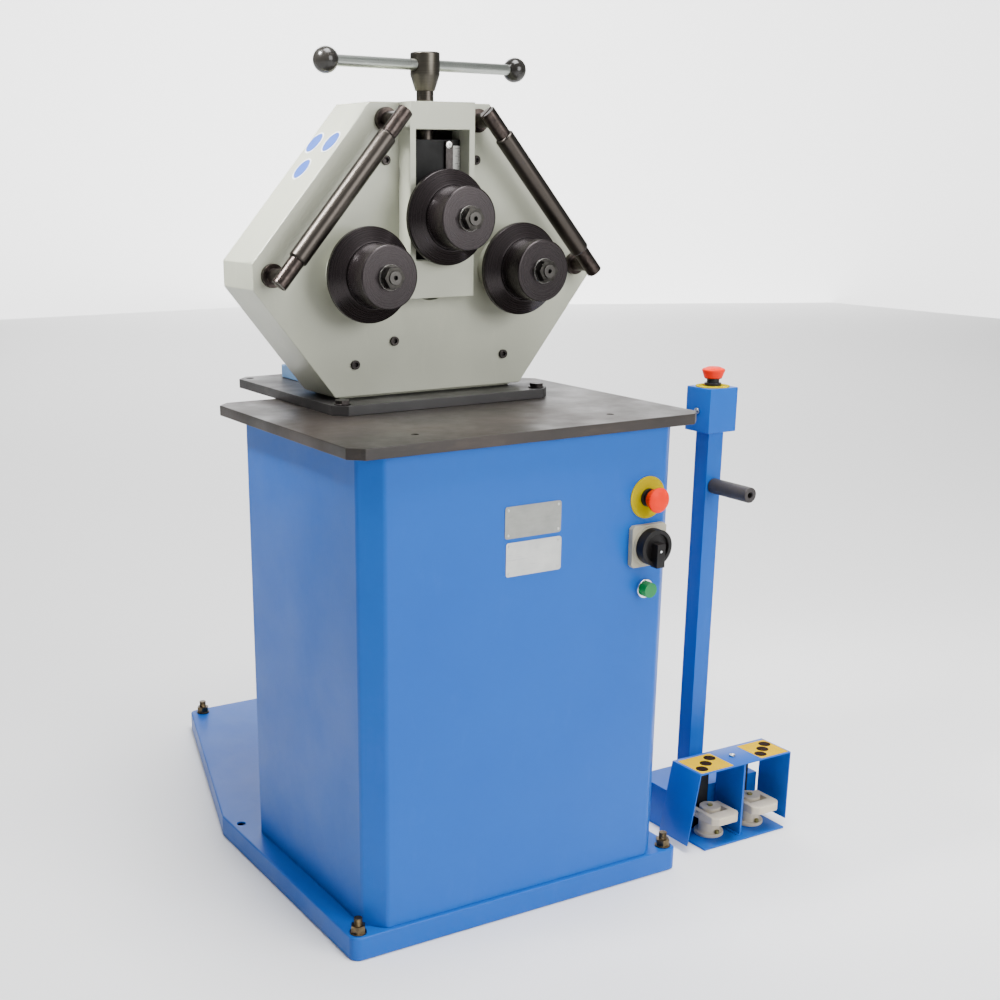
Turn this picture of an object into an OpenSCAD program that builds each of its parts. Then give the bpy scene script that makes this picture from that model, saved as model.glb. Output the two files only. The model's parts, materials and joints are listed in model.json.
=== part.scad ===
// Three-roll angle bender: a sheet-metal stand with a roll head on its table, and a free-standing
// foot console beside it. Millimetres; +X right, +Y back, +Z up. The origin lies on the floor, on
// the machine's centre plane, at the middle of the base pan's front flange.

/* [Stand] */
// Width of the base pan
base_w = 565; // [545:1:640]
// Length of the base pan, front to back
base_len = 931; // [860:1:1000]
// Length of the base pan's straight sides, from the front
base_side_len = 457; // [430:1:520]
// Width of the base pan at its back edge
base_tail_w = 300; // [240:1:380]
// Height of the base pan
base_h = 35; // [28:1:45]
// Sheet thickness of the base pan
base_sheet = 4; // [3:0.5:6]
// Width of the cabinet
cabinet_w = 504; // [470:1:510]
// Depth of the cabinet
cabinet_depth = 365; // [330:1:400]
// Height of the cabinet
cabinet_h = 658; // [600:1:720]
// Chamfer on the cabinet's front corners
cabinet_chamfer = 27; // [15:1:35]
// Sheet thickness of the cabinet
cabinet_sheet = 3; // [2:0.5:4]
// Width of the table
table_w = 555; // [530:1:600]
// Depth of the table
table_depth = 433; // [410:1:470]
// Thickness of the table
table_t = 15; // [10:1:20]
// Width of the head plate
head_plate_w = 362; // [350:1:400]
// Depth of the head plate
head_plate_depth = 355; // [340:1:380]
// Thickness of the head plate
head_plate_t = 14; // [10:1:20]

/* [Head] */
// Distance of the head's front face behind the cabinet's front
head_setback = 267; // [250:1:285]
// Depth of the head
head_depth = 100; // [98:1:104]
// Height of the head above the top roll axis
head_cap_h = 151.5; // [140:0.5:165]
// Width of the head's top
head_top_w = 192; // [180:1:210]
// Width of the head between its shoulders
head_mid_w = 554; // [545:1:575]
// Width of the head's bottom
head_bottom_w = 312; // [300:1:330]
// Height of the head's lower shoulder above its bottom
head_low_h = 153; // [148:1:158]
// Height of the head's upright side between the shoulders
head_side_h = 35; // [28:1:42]
// Width of the slide channel
channel_w = 104; // [100:1:108]
// Depth of the slide channel
channel_depth = 32; // [28:1:36]
// Thickness of the channel's side rails
rail_t = 9; // [7:0.5:11]

/* [Rolls] */
// Distance between the lower rolls
roll_spacing = 247; // [240:1:256]
// Height of the lower roll axes above the head's bottom
lower_axis_h = 170; // [166:1:174]
// Height of the top roll axis above the lower ones
top_axis_rise = 73; // [70:1:78]
// Diameter of the roll flange
roll_d = 129; // [118:1:130]
// Diameter of the roll boss
boss_d = 85; // [70:1:90]
// Length of a roll
roll_len = 61; // [56:1:64]
// Length of the boss in front of the flange
boss_len = 41; // [34:1:43]
// Width of the flange rim
rim_w = 8; // [5:0.5:10]
// Gap between the rolls and the head's front face
roll_gap = 41; // [36:1:46]
// Shaft diameter in the rolls
seat_d = 30; // [25:1:34]
// Shaft diameter in the bearings
journal_d = 40; // [38:1:44]
// Diameter of the thread on the shaft ends
thread_d = 18; // [16:1:20]

/* [Drive] */
// Gear module
gear_module = 4; // [3.8:0.1:4.2]
// Teeth on each roll gear
gear_teeth = 40; // [38:1:41]
// Teeth on the drive pinion
pinion_teeth = 26; // [25:1:28]
// Face width of the gears
gear_w = 16; // [12:1:18]
// Outside diameter of the motor
motor_d = 150; // [130:1:156]
// Length of the motor frame
motor_len = 138; // [120:1:160]

/* [Guides] */
// Length of a guide rod's bare end beside its sleeve
stub_len = 41.5; // [36:0.5:60]
// Diameter of the guide sleeves
sleeve_d = 27; // [25:1:32]
// Distance of the guide rods in front of the head
guide_stand = 42; // [36:1:50]

/* [Handle] */
// Diameter of the lead screw
screw_d = 24; // [20:1:26]
// Diameter of the handle hub
hub_d = 41; // [36:1:46]
// Diameter of the handle bar
bar_d = 15; // [12:1:18]
// Distance between the ball knobs
ball_span = 343; // [300:1:400]
// Diameter of the ball knobs
ball_d = 34; // [30:1:40]
// Turn of the handle bar away from the X axis
handle_turn = 10.4; // [0:0.1:30]

/* [Controls] */
// Distance of the front controls from the cabinet's corner chamfer
control_inset = 31; // [31:1:60]
// Diameter of the stop button's ring on the cabinet
stop_ring_d = 60; // [54:1:66]
// Diameter of the stop button heads
mushroom_d = 36; // [32:1:40]
// Side of the switch plate
switch_w = 60; // [54:1:64]
// Diameter of the switch knob
knob_d = 52; // [44:1:54]
// Diameter of the lamp bezel
lamp_d = 28; // [24:1:32]

/* [Console] */
// Distance of the console column from the centre plane
console_x = 442.5; // [425:0.5:520]
// Side of the console column
column_w = 30; // [26:1:36]
// Height of the column's top
column_top = 643.5; // [600:0.5:700]
// Side of the box on the column
console_box_w = 55; // [54:1:64]
// Height of the box on the column
console_box_h = 68; // [60:1:80]
// Width of the console's base box
console_base_w = 180; // [170:1:185]
// Depth of the console's base box
console_base_depth = 90; // [86:1:110]
// Height of the console's base box
console_base_h = 71; // [64:1:80]
// Length of the grip
grip_len = 84.5; // [70:0.5:100]
// Diameter of the grip
grip_d = 24; // [20:1:28]
// Width of the pedal hood
hood_w = 190; // [186:1:200]
// Height of the pedal hood
hood_h = 130; // [120:1:140]
// Width of a pedal
pedal_w = 55; // [50:1:56]
// Length of a pedal
pedal_len = 58; // [54:1:62]

/* [Hidden] */
$fn = 64;
hex_sides = 6;
arc_steps = 6;
over = 2;
fit_gap = 0.05;
slide_gap = 0.1;
face_gap = 0.3;

base_lip = 6;
base_corner_r = 14;
anchor_hole_d = 12;
anchor_inset = 15.5;
anchor_back_gap = 41;
stud_d = 12;
stud_h = 58;
stud_nut_af = 19;
stud_nut_t = 10;
stud_washer_d = 24;
stud_washer_t = 2.5;
stud_side_inset = 16.5;
stud_front_inset = 17;
stud_tail_inset = 18;
stud_back_inset = 20;

panel_margin = 40;
panel_t = 2;
panel_lap = 14;
cover_screw_d = 10;
cover_screw_h = 3;
gland_d = 20;
gland_len = 18;
gland_af = 24;
gland_nut_t = 7;
gland_bore_d = 10;
cabinet_gland_inset = 130;
cabinet_gland_drop = 73;

table_overhang = 15;
table_chamfer = 18;
table_hole_inset = 121;
table_hole_back = 58;
table_hole_d = 10.2;
head_plate_setback = 213.5;
head_plate_chamfer = 18;
plate_bolt_side = 18;
plate_bolt_inset = 19;
plate_bolt_d = 12;
plate_bolt_af = 19;
plate_bolt_head = 5;
plate_washer_d = 24;
plate_washer_t = 1.5;
plate_hole_d = 13;

foot_h = 4;
foot_inset = 12;
head_wall = 10;
head_front_wall = 16;
head_back_wall = 12;
bearing_d = 90;
bearing_t = 16;
bearing_spigot_d = 70;
face_screw_d = 13;
face_screw_h = 4;
face_screw_hex = 6;
face_low_x = 124.4;
face_low_h = 44.5;
face_high_x = 73;
face_high_drop = 75.5;
face_odd_x = 61;
face_odd_h = 74;
window_gap = 3;
window_top = 36;
slot_drop = 5.2;
channel_front_wall = 20;
channel_end_wall = 8;
channel_top_wall = 4;

collar_d = 52;
thread_len = 16;
roll_chamfer = 1;
groove_r = 1.5;
rim_chamfer = 1;
roll_washer_d = 34;
roll_washer_t = 3;
roll_nut_af = 27;
roll_nut_t = 11;
centre_hole_d = 6;
centre_hole_depth = 6;
back_collar_t = 8;

slide_proud = 7;
slide_depth = 66;
slide_drop = 69;
slide_top_gap = 48.5;
slide_fall = 28;
slide_rise = 30;
channel_end_gap = 4;
nut_web = 7;
keeper_x = 23;
keeper_w = 12;
keeper_t = 5;
keeper_end_gap = 20;
keeper_top_gap = 2;
scale_x = 30.5;
scale_w = 12;
scale_t = 1;
scale_end_gap = 44;
scale_top_gap = 8;

screw_back = 17;
screw_collar_d = 33;
screw_collar_t = 6;
screw_tip_gap = 2;
bush_d = 30;
neck_h = 15.5;
hub_neck_d = 27.4;
hub_cone_h = 21;
hub_h = 50;
hub_chamfer = 1.5;
bar_h = 33.5;

gear_backlash = 1.3;
gear_addendum_share = 0.8;
gear_dedendum_share = 1.2;
gear_flank_deg = 20;
gear_back_gap = 2;
pinion_shaft_d = 35;
pinion_hole_d = 60;
pinion_boss_d = 50;
pinion_seat = 24;
reducer_w = 232;
reducer_len = 166;
reducer_foot_h = 20.7;
reducer_d = 190;
reducer_body_len = 128;
reducer_neck_w = 130;
motor_flange_d = 180;
motor_flange_t = 12;
motor_fin_count = 28;
motor_fin_h = 5;
motor_fin_t = 2.5;
fan_len = 40;
fan_slot_count = 12;
fan_slot_w = 6;
fan_slot_r = 28;
fan_slot_len = 34;
fan_sheet = 3;
terminal_w = 92;
terminal_len = 84;
terminal_h = 46;

guide_top_x = 64.5;
guide_extra_len = 19.4;
guide_top_drop = 12.5;
guide_stub_d = 22;
guide_core_d = 16;
sleeve_chamfer = 2;
post_d = 20;
post_flange_d = 32;
post_flange_t = 8;
post_inset = 14;
guide_slot_w = 3;
guide_slot_depth = 3;

stop_drop = 98.5;
switch_drop = 166;
lamp_drop = 230;
ring_t = 1.5;
stop_barrel_d = 22;
stop_barrel_len = 30;
stop_collar_d = 26;
stop_collar_t = 6;
stop_stem_d = 19;
stop_stem_gap = 6;
stop_neck_d = 26;
stop_head_len = 21;
stop_dome = 3;
stop_chamfer = 1.5;
switch_t = 9;
switch_chamfer = 4;
switch_bezel_d = 56;
switch_bezel_t = 3;
knob_t = 15;
knob_dish_d = 40;
knob_dish_depth = 5;
knob_stem_d = 12;
pointer_w = 14;
pointer_len = 27;
pointer_h = 9;
lamp_bezel_t = 6;
lens_d = 20;
lens_len = 18;
lens_rib_d = 22;
lens_rib_t = 1.5;
lens_rib_count = 4;

column_front = 147;
column_wall = 2;
console_base_front = 96;
console_sheet = 2;
console_ring_d = 52;
grip_z = 558;
grip_hole_d = 9;
grip_hole_depth = 30;
console_screw_z = 676;
hood_front = 28;
hood_sheet = 2;
hood_spread_w = 20;
hood_floor_h = 12;
hood_back_flange = 25;
divider_t = 4;
divider_front = 31;
divider_foot = 12;
pedal_floor_t = 3;
pedal_floor_w = 168;
pedal_floor_front = 20;
pedal_offset = 42.5;
pedal_shift = 5;
pedal_front = 20;
pedal_base_d = 47;
pedal_base_t = 6;
pedal_flare_d = 37;
pedal_flare_h = 8;
pedal_body_d = 34;
pedal_body_top = 51;
pedal_z = 35;
pedal_t = 14;
pedal_pivot_y = 65;
pedal_pin_d = 6;
pedal_chamfer = 9;
pedal_slot_gap = 1.5;
pedal_slot_y = 44;
pedal_switch_w = 32;
pedal_switch_depth = 7;
pedal_switch_top = 100;

cabinet_front = base_lip - base_sheet / 2;
cabinet_back = cabinet_front + cabinet_depth;
cabinet_top = base_h + cabinet_h;
cabinet_gland_x = cabinet_w / 2 - cabinet_gland_inset;
cabinet_gland_z = cabinet_top - cabinet_gland_drop;
control_x = cabinet_w / 2 - cabinet_chamfer - control_inset;
stop_z = cabinet_top - stop_drop;
switch_z = cabinet_top - switch_drop;
lamp_z = cabinet_top - lamp_drop;
anchor_hole_x = base_w / 2 - anchor_inset;
anchor_hole_y = base_side_len - base_sheet / 2 - anchor_back_gap;
stud_front = [base_w / 2 - stud_side_inset, stud_front_inset - base_sheet / 2];
stud_back = [base_tail_w / 2 - stud_tail_inset, base_len - base_sheet / 2 - stud_back_inset];
table_front = cabinet_front - table_overhang;
table_top = cabinet_top + table_t;
table_hole_x = table_w / 2 - table_hole_inset;
table_hole_y = table_front + table_hole_back;
plate_bolt_x = head_plate_w / 2 - plate_bolt_side;
head_plate_front = cabinet_front + head_plate_setback;
head_plate_back = head_plate_front + head_plate_depth;
head_plate_top = table_top + head_plate_t;
head_front = cabinet_front + head_setback;
head_back = head_front + head_depth;
head_bottom = head_plate_top + foot_h;
head_low = head_bottom + head_low_h;
head_high = head_low + head_side_h;
lower_z = head_bottom + lower_axis_h;
top_z = lower_z + top_axis_rise;
head_top = top_z + head_cap_h;
face_screws_at = [
    [face_low_x, head_bottom + face_low_h],
    [-face_low_x, head_bottom + face_low_h],
    [face_high_x, head_top - face_high_drop],
    [-face_high_x, head_top - face_high_drop],
    [-face_odd_x, head_bottom + face_odd_h]
];
roll_x = roll_spacing / 2;
roll_back = head_front - roll_gap;
roll_front = roll_back - roll_len;
thread_front = roll_front - thread_len;
inner_back = head_back - head_back_wall;
gear_back = inner_back - gear_back_gap;
gear_front = gear_back - gear_w;
gear_r = gear_module * gear_teeth / 2;
pinion_r = gear_module * pinion_teeth / 2;
mesh_r = gear_r + pinion_r;
pinion_z = lower_z - sqrt(mesh_r * mesh_r - roll_x * roll_x);
mesh_angle = atan2(lower_z - pinion_z, roll_x);
pinion_pitch = 360 / pinion_teeth;
pinion_tooth = 90 + round((mesh_angle - 90) / pinion_pitch) * pinion_pitch;
mesh_shift = (pinion_tooth - mesh_angle) * pinion_teeth / gear_teeth;
right_gear_turn = 180 + mesh_angle - mesh_shift + 180 / gear_teeth;
left_gear_turn = 180 - right_gear_turn;
slide_w = channel_w - 2 * rail_t - 2 * slide_gap;
slide_front = head_front - slide_proud;
slide_back = slide_front + slide_depth;
slide_bottom = top_z - slide_drop;
slide_top = head_top - slide_top_gap;
slide_h = slide_top - slide_bottom;
keeper_h = slide_h - keeper_top_gap - keeper_end_gap;
scale_h = slide_h - scale_top_gap - scale_end_gap;
slot_r = channel_w / 2 - rail_t;
channel_front = head_front - channel_depth;
channel_bottom = slide_bottom - slide_fall - channel_end_gap - channel_end_wall;
channel_h = head_top - channel_bottom;
window_bottom = top_z - slide_fall - collar_d / 2 - window_gap;
window_h = head_top - window_top - window_bottom;
screw_y = head_front + screw_back;
screw_floor = top_z + journal_d / 2 + nut_web;
screw_tip = screw_floor + slide_rise + screw_tip_gap;
hub_bottom = head_top + neck_h;
bar_z = hub_bottom + bar_h;
guide_angle = atan2((head_mid_w - head_top_w) / 2, head_top - head_high);
guide_len = norm([(head_mid_w - head_top_w) / 2, head_top - head_high]) + guide_extra_len;
sleeve_len = guide_len - 2 * stub_len;
guide_top_z = head_top - guide_top_drop;
guide_y = head_front - guide_stand;
column_y = column_front + column_w / 2;
console_base_back = console_base_front + console_base_depth;
console_box_top = column_top + console_box_h;
pedal_x = console_x + pedal_shift;
pedal_axis_z = pedal_z + pedal_t / 2;

base_outline = [
    [-base_w / 2, -base_sheet / 2],
    [base_w / 2, -base_sheet / 2],
    [base_w / 2, base_side_len - base_sheet / 2],
    [base_tail_w / 2, base_len - base_sheet / 2],
    [-base_tail_w / 2, base_len - base_sheet / 2],
    [-base_w / 2, base_side_len - base_sheet / 2]
];
cabinet_outline = [
    [-cabinet_w / 2 + cabinet_chamfer, cabinet_front],
    [cabinet_w / 2 - cabinet_chamfer, cabinet_front],
    [cabinet_w / 2, cabinet_front + cabinet_chamfer],
    [cabinet_w / 2, cabinet_back],
    [-cabinet_w / 2, cabinet_back],
    [-cabinet_w / 2, cabinet_front + cabinet_chamfer]
];
head_outline = [
    [-head_bottom_w / 2, head_bottom],
    [head_bottom_w / 2, head_bottom],
    [head_mid_w / 2, head_low],
    [head_mid_w / 2, head_high],
    [head_top_w / 2, head_top],
    [-head_top_w / 2, head_top],
    [-head_mid_w / 2, head_high],
    [-head_mid_w / 2, head_low]
];
roll_profile = [
    [seat_d / 2, 0],
    [boss_d / 2 - roll_chamfer, 0],
    [boss_d / 2, roll_chamfer],
    [boss_d / 2, boss_len - groove_r],
    [boss_d / 2 - groove_r, boss_len],
    [boss_d / 2, boss_len + groove_r],
    [boss_d / 2 + groove_r, boss_len],
    [roll_d / 2 - rim_chamfer, roll_len - rim_w - rim_chamfer],
    [roll_d / 2, roll_len - rim_w],
    [roll_d / 2, roll_len - rim_chamfer],
    [roll_d / 2 - rim_chamfer, roll_len],
    [seat_d / 2, roll_len]
];
stop_profile = [
    [0, -stop_barrel_len],
    [stop_stem_d / 2, -stop_barrel_len],
    [stop_stem_d / 2, stop_collar_t + stop_stem_gap],
    [stop_neck_d / 2, stop_collar_t + stop_stem_gap],
    [mushroom_d / 2, stop_collar_t + stop_head_len - stop_chamfer],
    [mushroom_d / 2 - stop_chamfer, stop_collar_t + stop_head_len],
    [mushroom_d / 4, stop_collar_t + stop_head_len + stop_dome],
    [0, stop_collar_t + stop_head_len + stop_dome]
];

function unit(v) = v / norm(v);
function edge_normal(p, q) = [unit(q - p).y, -unit(q - p).x];
function corner_in(a, b, c, t) =
    let (m = edge_normal(a, b), n = edge_normal(b, c))
    b - t * (m + n) / (1 + m * n);
function before(points, i) = points[(i + len(points) - 1) % len(points)];
function after(points, i) = points[(i + 1) % len(points)];
function inset(points, t) = [
    for (i = [0 : len(points) - 1])
        corner_in(before(points, i), points[i], after(points, i), t)
];
function rounded(points, r) = [
    for (i = [0 : len(points) - 1])
        let (
            p = points[i],
            m = edge_normal(before(points, i), p),
            n = edge_normal(p, after(points, i)),
            middle = corner_in(before(points, i), p, after(points, i), r),
            start = atan2(m.y, m.x),
            sweep = acos(m * n)
        )
        for (s = [0 : arc_steps])
            middle + r * [cos(start + sweep * s / arc_steps), sin(start + sweep * s / arc_steps)]
];
function chamfered(w, y0, y1, c) = [
    [-w / 2 + c, y0], [w / 2 - c, y0], [w / 2, y0 + c], [w / 2, y1 - c],
    [w / 2 - c, y1], [-w / 2 + c, y1], [-w / 2, y1 - c], [-w / 2, y0 + c]
];
function polar(r, a) = [r * cos(a), r * sin(a)];
function tooth_deg(r, rise) =
    ((PI * gear_module - gear_backlash) / 4 - rise * tan(gear_flank_deg)) / r * 180 / PI;
function gear_outline(teeth, turn) =
    let (
        pitch_r = gear_module * teeth / 2,
        rise = gear_module * gear_addendum_share,
        fall = gear_module * gear_dedendum_share,
        tip_r = pitch_r + rise,
        root_r = pitch_r - fall
    )
    [
        for (i = [0 : teeth - 1])
            let (a = turn + i * 360 / teeth)
            each [
                polar(root_r, a - tooth_deg(root_r, -fall)),
                polar(tip_r, a - tooth_deg(tip_r, rise)),
                polar(tip_r, a + tooth_deg(tip_r, rise)),
                polar(root_r, a + tooth_deg(root_r, -fall))
            ]
    ];
function guide_point(side, s) = [
    side * (guide_top_x + s * sin(guide_angle)),
    guide_y,
    guide_top_z - s * cos(guide_angle)
];

module upright(y0, y1) {
    translate([0, y1, 0])
        rotate([90, 0, 0])
            linear_extrude(y1 - y0)
                children();
}

module rod_y(x, z, y0, y1, d) {
    translate([x, y0, z])
        rotate([-90, 0, 0])
            cylinder(d = d, h = y1 - y0);
}

module hex_y(x, z, y0, y1, af) {
    translate([x, y0, z])
        rotate([-90, 0, 0])
            cylinder(d = af / cos(180 / hex_sides), h = y1 - y0, $fn = hex_sides);
}

module hex_z(h, af) {
    cylinder(d = af / cos(180 / hex_sides), h = h, $fn = hex_sides);
}

module mirrored() {
    children();
    mirror([1, 0, 0])
        children();
}

// Stand

module base_pan() {
    color([0.22, 0.42, 0.68])
        difference() {
            linear_extrude(base_h)
                polygon(rounded(base_outline, base_corner_r));
            translate([0, 0, -over])
                linear_extrude(base_h - base_sheet + over)
                    polygon(rounded(inset(base_outline, base_sheet), base_corner_r - base_sheet));
            mirrored() {
                translate([anchor_hole_x, anchor_hole_y, 0])
                    cylinder(d = anchor_hole_d, h = base_h + over);
                translate(stud_front)
                    cylinder(d = stud_d, h = base_h + over);
                translate(stud_back)
                    cylinder(d = stud_d, h = base_h + over);
            }
        }
}

module anchor_stud() {
    cylinder(d = stud_d, h = stud_h);
    translate([0, 0, base_h])
        cylinder(d = stud_washer_d, h = stud_washer_t);
    translate([0, 0, base_h + stud_washer_t])
        hex_z(stud_nut_t, stud_nut_af);
}

module anchor_studs() {
    color([0.72, 0.6, 0.3])
        mirrored() {
            translate(stud_front)
                anchor_stud();
            translate(stud_back)
                anchor_stud();
        }
}

module cabinet_shell() {
    color([0.3, 0.53, 0.8])
        difference() {
            translate([0, 0, base_h])
                linear_extrude(cabinet_h)
                    polygon(cabinet_outline);
            translate([0, 0, base_h - over])
                linear_extrude(cabinet_h + 2 * over)
                    polygon(inset(cabinet_outline, cabinet_sheet));
            translate([
                -cabinet_w / 2 + panel_margin,
                cabinet_back - over - cabinet_sheet,
                base_h + panel_margin
            ])
                cube([
                    cabinet_w - 2 * panel_margin,
                    cabinet_sheet + 2 * over,
                    cabinet_h - 2 * panel_margin
                ]);
            for (z = [stop_z, switch_z, lamp_z])
                rod_y(
                    control_x, z, cabinet_front - over,
                    cabinet_front + cabinet_sheet + over, stop_barrel_d
                );
        }
}

module rear_panel() {
    panel_w = cabinet_w - 2 * panel_margin + 2 * panel_lap;
    panel_h = cabinet_h - 2 * panel_margin + 2 * panel_lap;
    color([0.26, 0.47, 0.73])
        difference() {
            translate([-panel_w / 2, cabinet_back, base_h + panel_margin - panel_lap])
                cube([panel_w, panel_t, panel_h]);
            rod_y(
                cabinet_gland_x, cabinet_gland_z, cabinet_back - over,
                cabinet_back + panel_t + over, gland_d
            );
        }
}

module cover_screws() {
    screw_x = cabinet_w / 2 - panel_margin + panel_lap / 2;
    screw_low = base_h + panel_margin - panel_lap / 2;
    screw_high = base_h + cabinet_h - panel_margin + panel_lap / 2;
    color([0.75, 0.75, 0.74]) {
        for (z = [screw_low, (screw_low + screw_high) / 2, screw_high])
            mirrored()
                rod_y(
                    screw_x, z, cabinet_back + panel_t,
                    cabinet_back + panel_t + cover_screw_h, cover_screw_d
                );
        translate([console_x - console_box_w / 2 - cover_screw_h, column_y, console_screw_z])
            rotate([0, 90, 0])
                cylinder(d = cover_screw_d, h = cover_screw_h);
        translate([console_x, (hood_front + console_base_front) / 2, hood_h])
            cylinder(d = cover_screw_d, h = cover_screw_h);
    }
}

module gland_y(x, z, y0) {
    difference() {
        union() {
            rod_y(x, z, y0 - cabinet_sheet - panel_t, y0 + gland_len, gland_d);
            hex_y(x, z, y0, y0 + gland_nut_t, gland_af);
        }
        rod_y(x, z, y0 - cabinet_sheet - panel_t - over, y0 + gland_len + over, gland_bore_d);
    }
}

module cable_glands() {
    color([0.08, 0.08, 0.09]) {
        gland_y(cabinet_gland_x, cabinet_gland_z, cabinet_back + panel_t);
        gland_y(console_x, console_base_h / 2, console_base_back);
    }
}

module table_plate() {
    color([0.26, 0.24, 0.23])
        difference() {
            translate([0, 0, cabinet_top])
                linear_extrude(table_t)
                    polygon(chamfered(table_w, table_front, table_front + table_depth, table_chamfer));
            mirrored() {
                translate([table_hole_x, table_hole_y, cabinet_top - over])
                    cylinder(d = table_hole_d, h = table_t + 2 * over);
                translate([plate_bolt_x, head_plate_front + plate_bolt_inset, cabinet_top - over])
                    cylinder(d = plate_bolt_d, h = table_t + 2 * over);
            }
        }
}

module head_plate() {
    color([0.3, 0.28, 0.26])
        difference() {
            translate([0, 0, table_top])
                linear_extrude(head_plate_t)
                    polygon(chamfered(head_plate_w, head_plate_front, head_plate_back, head_plate_chamfer));
            mirrored() {
                translate([plate_bolt_x, head_plate_front + plate_bolt_inset, table_top - over])
                    cylinder(d = plate_bolt_d, h = head_plate_t + 2 * over);
                translate([plate_bolt_x, head_plate_back - plate_bolt_inset, table_top - over])
                    cylinder(d = plate_hole_d, h = head_plate_t + 2 * over);
            }
        }
}

module head_plate_bolts() {
    color([0.2, 0.19, 0.19])
        mirrored()
            translate([plate_bolt_x, head_plate_front + plate_bolt_inset, 0]) {
                translate([0, 0, cabinet_top])
                    cylinder(d = plate_bolt_d, h = table_t + head_plate_t);
                translate([0, 0, head_plate_top])
                    cylinder(d = plate_washer_d, h = plate_washer_t);
                translate([0, 0, head_plate_top + plate_washer_t])
                    hex_z(plate_bolt_head, plate_bolt_af);
            }
}

// Head

module head_housing() {
    color([0.66, 0.67, 0.63])
        difference() {
            union() {
                upright(head_front, head_back)
                    polygon(head_outline);
                translate([-head_bottom_w / 2 + foot_inset, head_front + foot_inset, head_plate_top])
                    cube([head_bottom_w - 2 * foot_inset, head_depth - 2 * foot_inset, foot_h + head_wall]);
            }
            upright(head_front + head_front_wall, head_back + over)
                polygon(inset(head_outline, head_wall));
            upright(head_front - over, head_front + head_front_wall + over)
                slot_outline();
            for (side = [-1, 1])
                rod_y(
                    side * roll_x, lower_z, head_front - over,
                    head_front + head_front_wall + over, bearing_spigot_d
                );
            translate([0, screw_y, head_top - head_wall - over])
                cylinder(d = bush_d, h = head_wall + 2 * over);
            for (at = face_screws_at)
                rod_y(at.x, at.y, head_front - over, head_front + head_front_wall, face_screw_d / 2);
        }
}

module slot_outline() {
    translate([0, channel_bottom + slot_r - slot_drop])
        circle(r = slot_r);
    translate([-slot_r, channel_bottom + slot_r - slot_drop])
        square([2 * slot_r, channel_h - slot_r + slot_drop - head_wall]);
}

module head_back_plate() {
    color([0.62, 0.63, 0.6])
        difference() {
            upright(inner_back, head_back)
                polygon(inset(head_outline, head_wall));
            for (side = [-1, 1])
                rod_y(side * roll_x, lower_z, inner_back - over, head_back + over, journal_d + 2 * fit_gap);
            rod_y(0, pinion_z, inner_back - over, head_back + over, pinion_hole_d);
        }
}

module slide_channel() {
    color([0.72, 0.73, 0.7])
        difference() {
            translate([-channel_w / 2, channel_front, channel_bottom])
                cube([channel_w, channel_depth, channel_h]);
            translate([
                -channel_w / 2 + rail_t,
                channel_front + channel_front_wall,
                channel_bottom + channel_end_wall
            ])
                cube([
                    channel_w - 2 * rail_t,
                    channel_depth,
                    channel_h - channel_end_wall - channel_top_wall
                ]);
            translate([-channel_w / 2 + rail_t, channel_front - over, head_top - window_top - window_h])
                cube([channel_w - 2 * rail_t, channel_depth, window_h]);
        }
}

module face_screws() {
    color([0.2, 0.2, 0.2])
        for (at = face_screws_at)
            difference() {
                union() {
                    rod_y(at.x, at.y, head_front - face_screw_h, head_front, face_screw_d);
                    rod_y(at.x, at.y, head_front, head_front + head_front_wall, face_screw_d / 2);
                }
                hex_y(at.x, at.y, head_front - face_screw_h - over, head_front, face_screw_hex);
            }
}

module screw_bush() {
    color([0.6, 0.5, 0.3])
        translate([0, screw_y, head_top - head_wall])
            difference() {
                cylinder(d = bush_d, h = head_wall);
                translate([0, 0, -over])
                    cylinder(d = screw_d + 2 * fit_gap, h = head_wall + 2 * over);
            }
}

module bearing_housings() {
    color([0.6, 0.61, 0.58])
        for (side = [-1, 1])
            difference() {
                union() {
                    rod_y(side * roll_x, lower_z, head_front - bearing_t, head_front, bearing_d);
                    rod_y(
                        side * roll_x, lower_z, head_front,
                        head_front + head_front_wall, bearing_spigot_d
                    );
                }
                rod_y(
                    side * roll_x, lower_z, head_front - bearing_t - over,
                    head_front + head_front_wall + over, journal_d + 2 * fit_gap
                );
            }
}

// Drive

module gear_reducer() {
    reducer_back = head_back + reducer_body_len;
    color([0.3, 0.45, 0.62])
        difference() {
            union() {
                translate([-reducer_w / 2, head_back, head_plate_top])
                    cube([reducer_w, reducer_len, reducer_foot_h]);
                translate([-reducer_neck_w / 2, head_back, head_plate_top])
                    cube([reducer_neck_w, reducer_body_len, pinion_z - head_plate_top]);
                rod_y(0, pinion_z, head_back, reducer_back, reducer_d);
                rod_y(0, pinion_z, reducer_back, reducer_back + motor_flange_t, motor_flange_d);
            }
            rod_y(
                0, pinion_z, head_back - over,
                head_back + pinion_seat + over, pinion_shaft_d + 2 * fit_gap
            );
        }
}

module drive_motor() {
    motor_front = head_back + reducer_body_len + motor_flange_t;
    motor_back = motor_front + motor_len;
    color([0.33, 0.48, 0.64]) {
        rod_y(0, pinion_z, motor_front, motor_back, motor_d - 2 * motor_fin_h);
        for (i = [0 : motor_fin_count - 1])
            translate([0, motor_front, pinion_z])
                rotate([0, i * 360 / motor_fin_count, 0])
                    translate([-motor_fin_t / 2, 0, motor_d / 2 - 2 * motor_fin_h])
                        cube([motor_fin_t, motor_len, 2 * motor_fin_h]);
        translate([-terminal_w / 2, motor_front + motor_fin_h, pinion_z + motor_d / 2 - 2 * motor_fin_h])
            cube([terminal_w, terminal_len, terminal_h + 2 * motor_fin_h]);
    }
}

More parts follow.
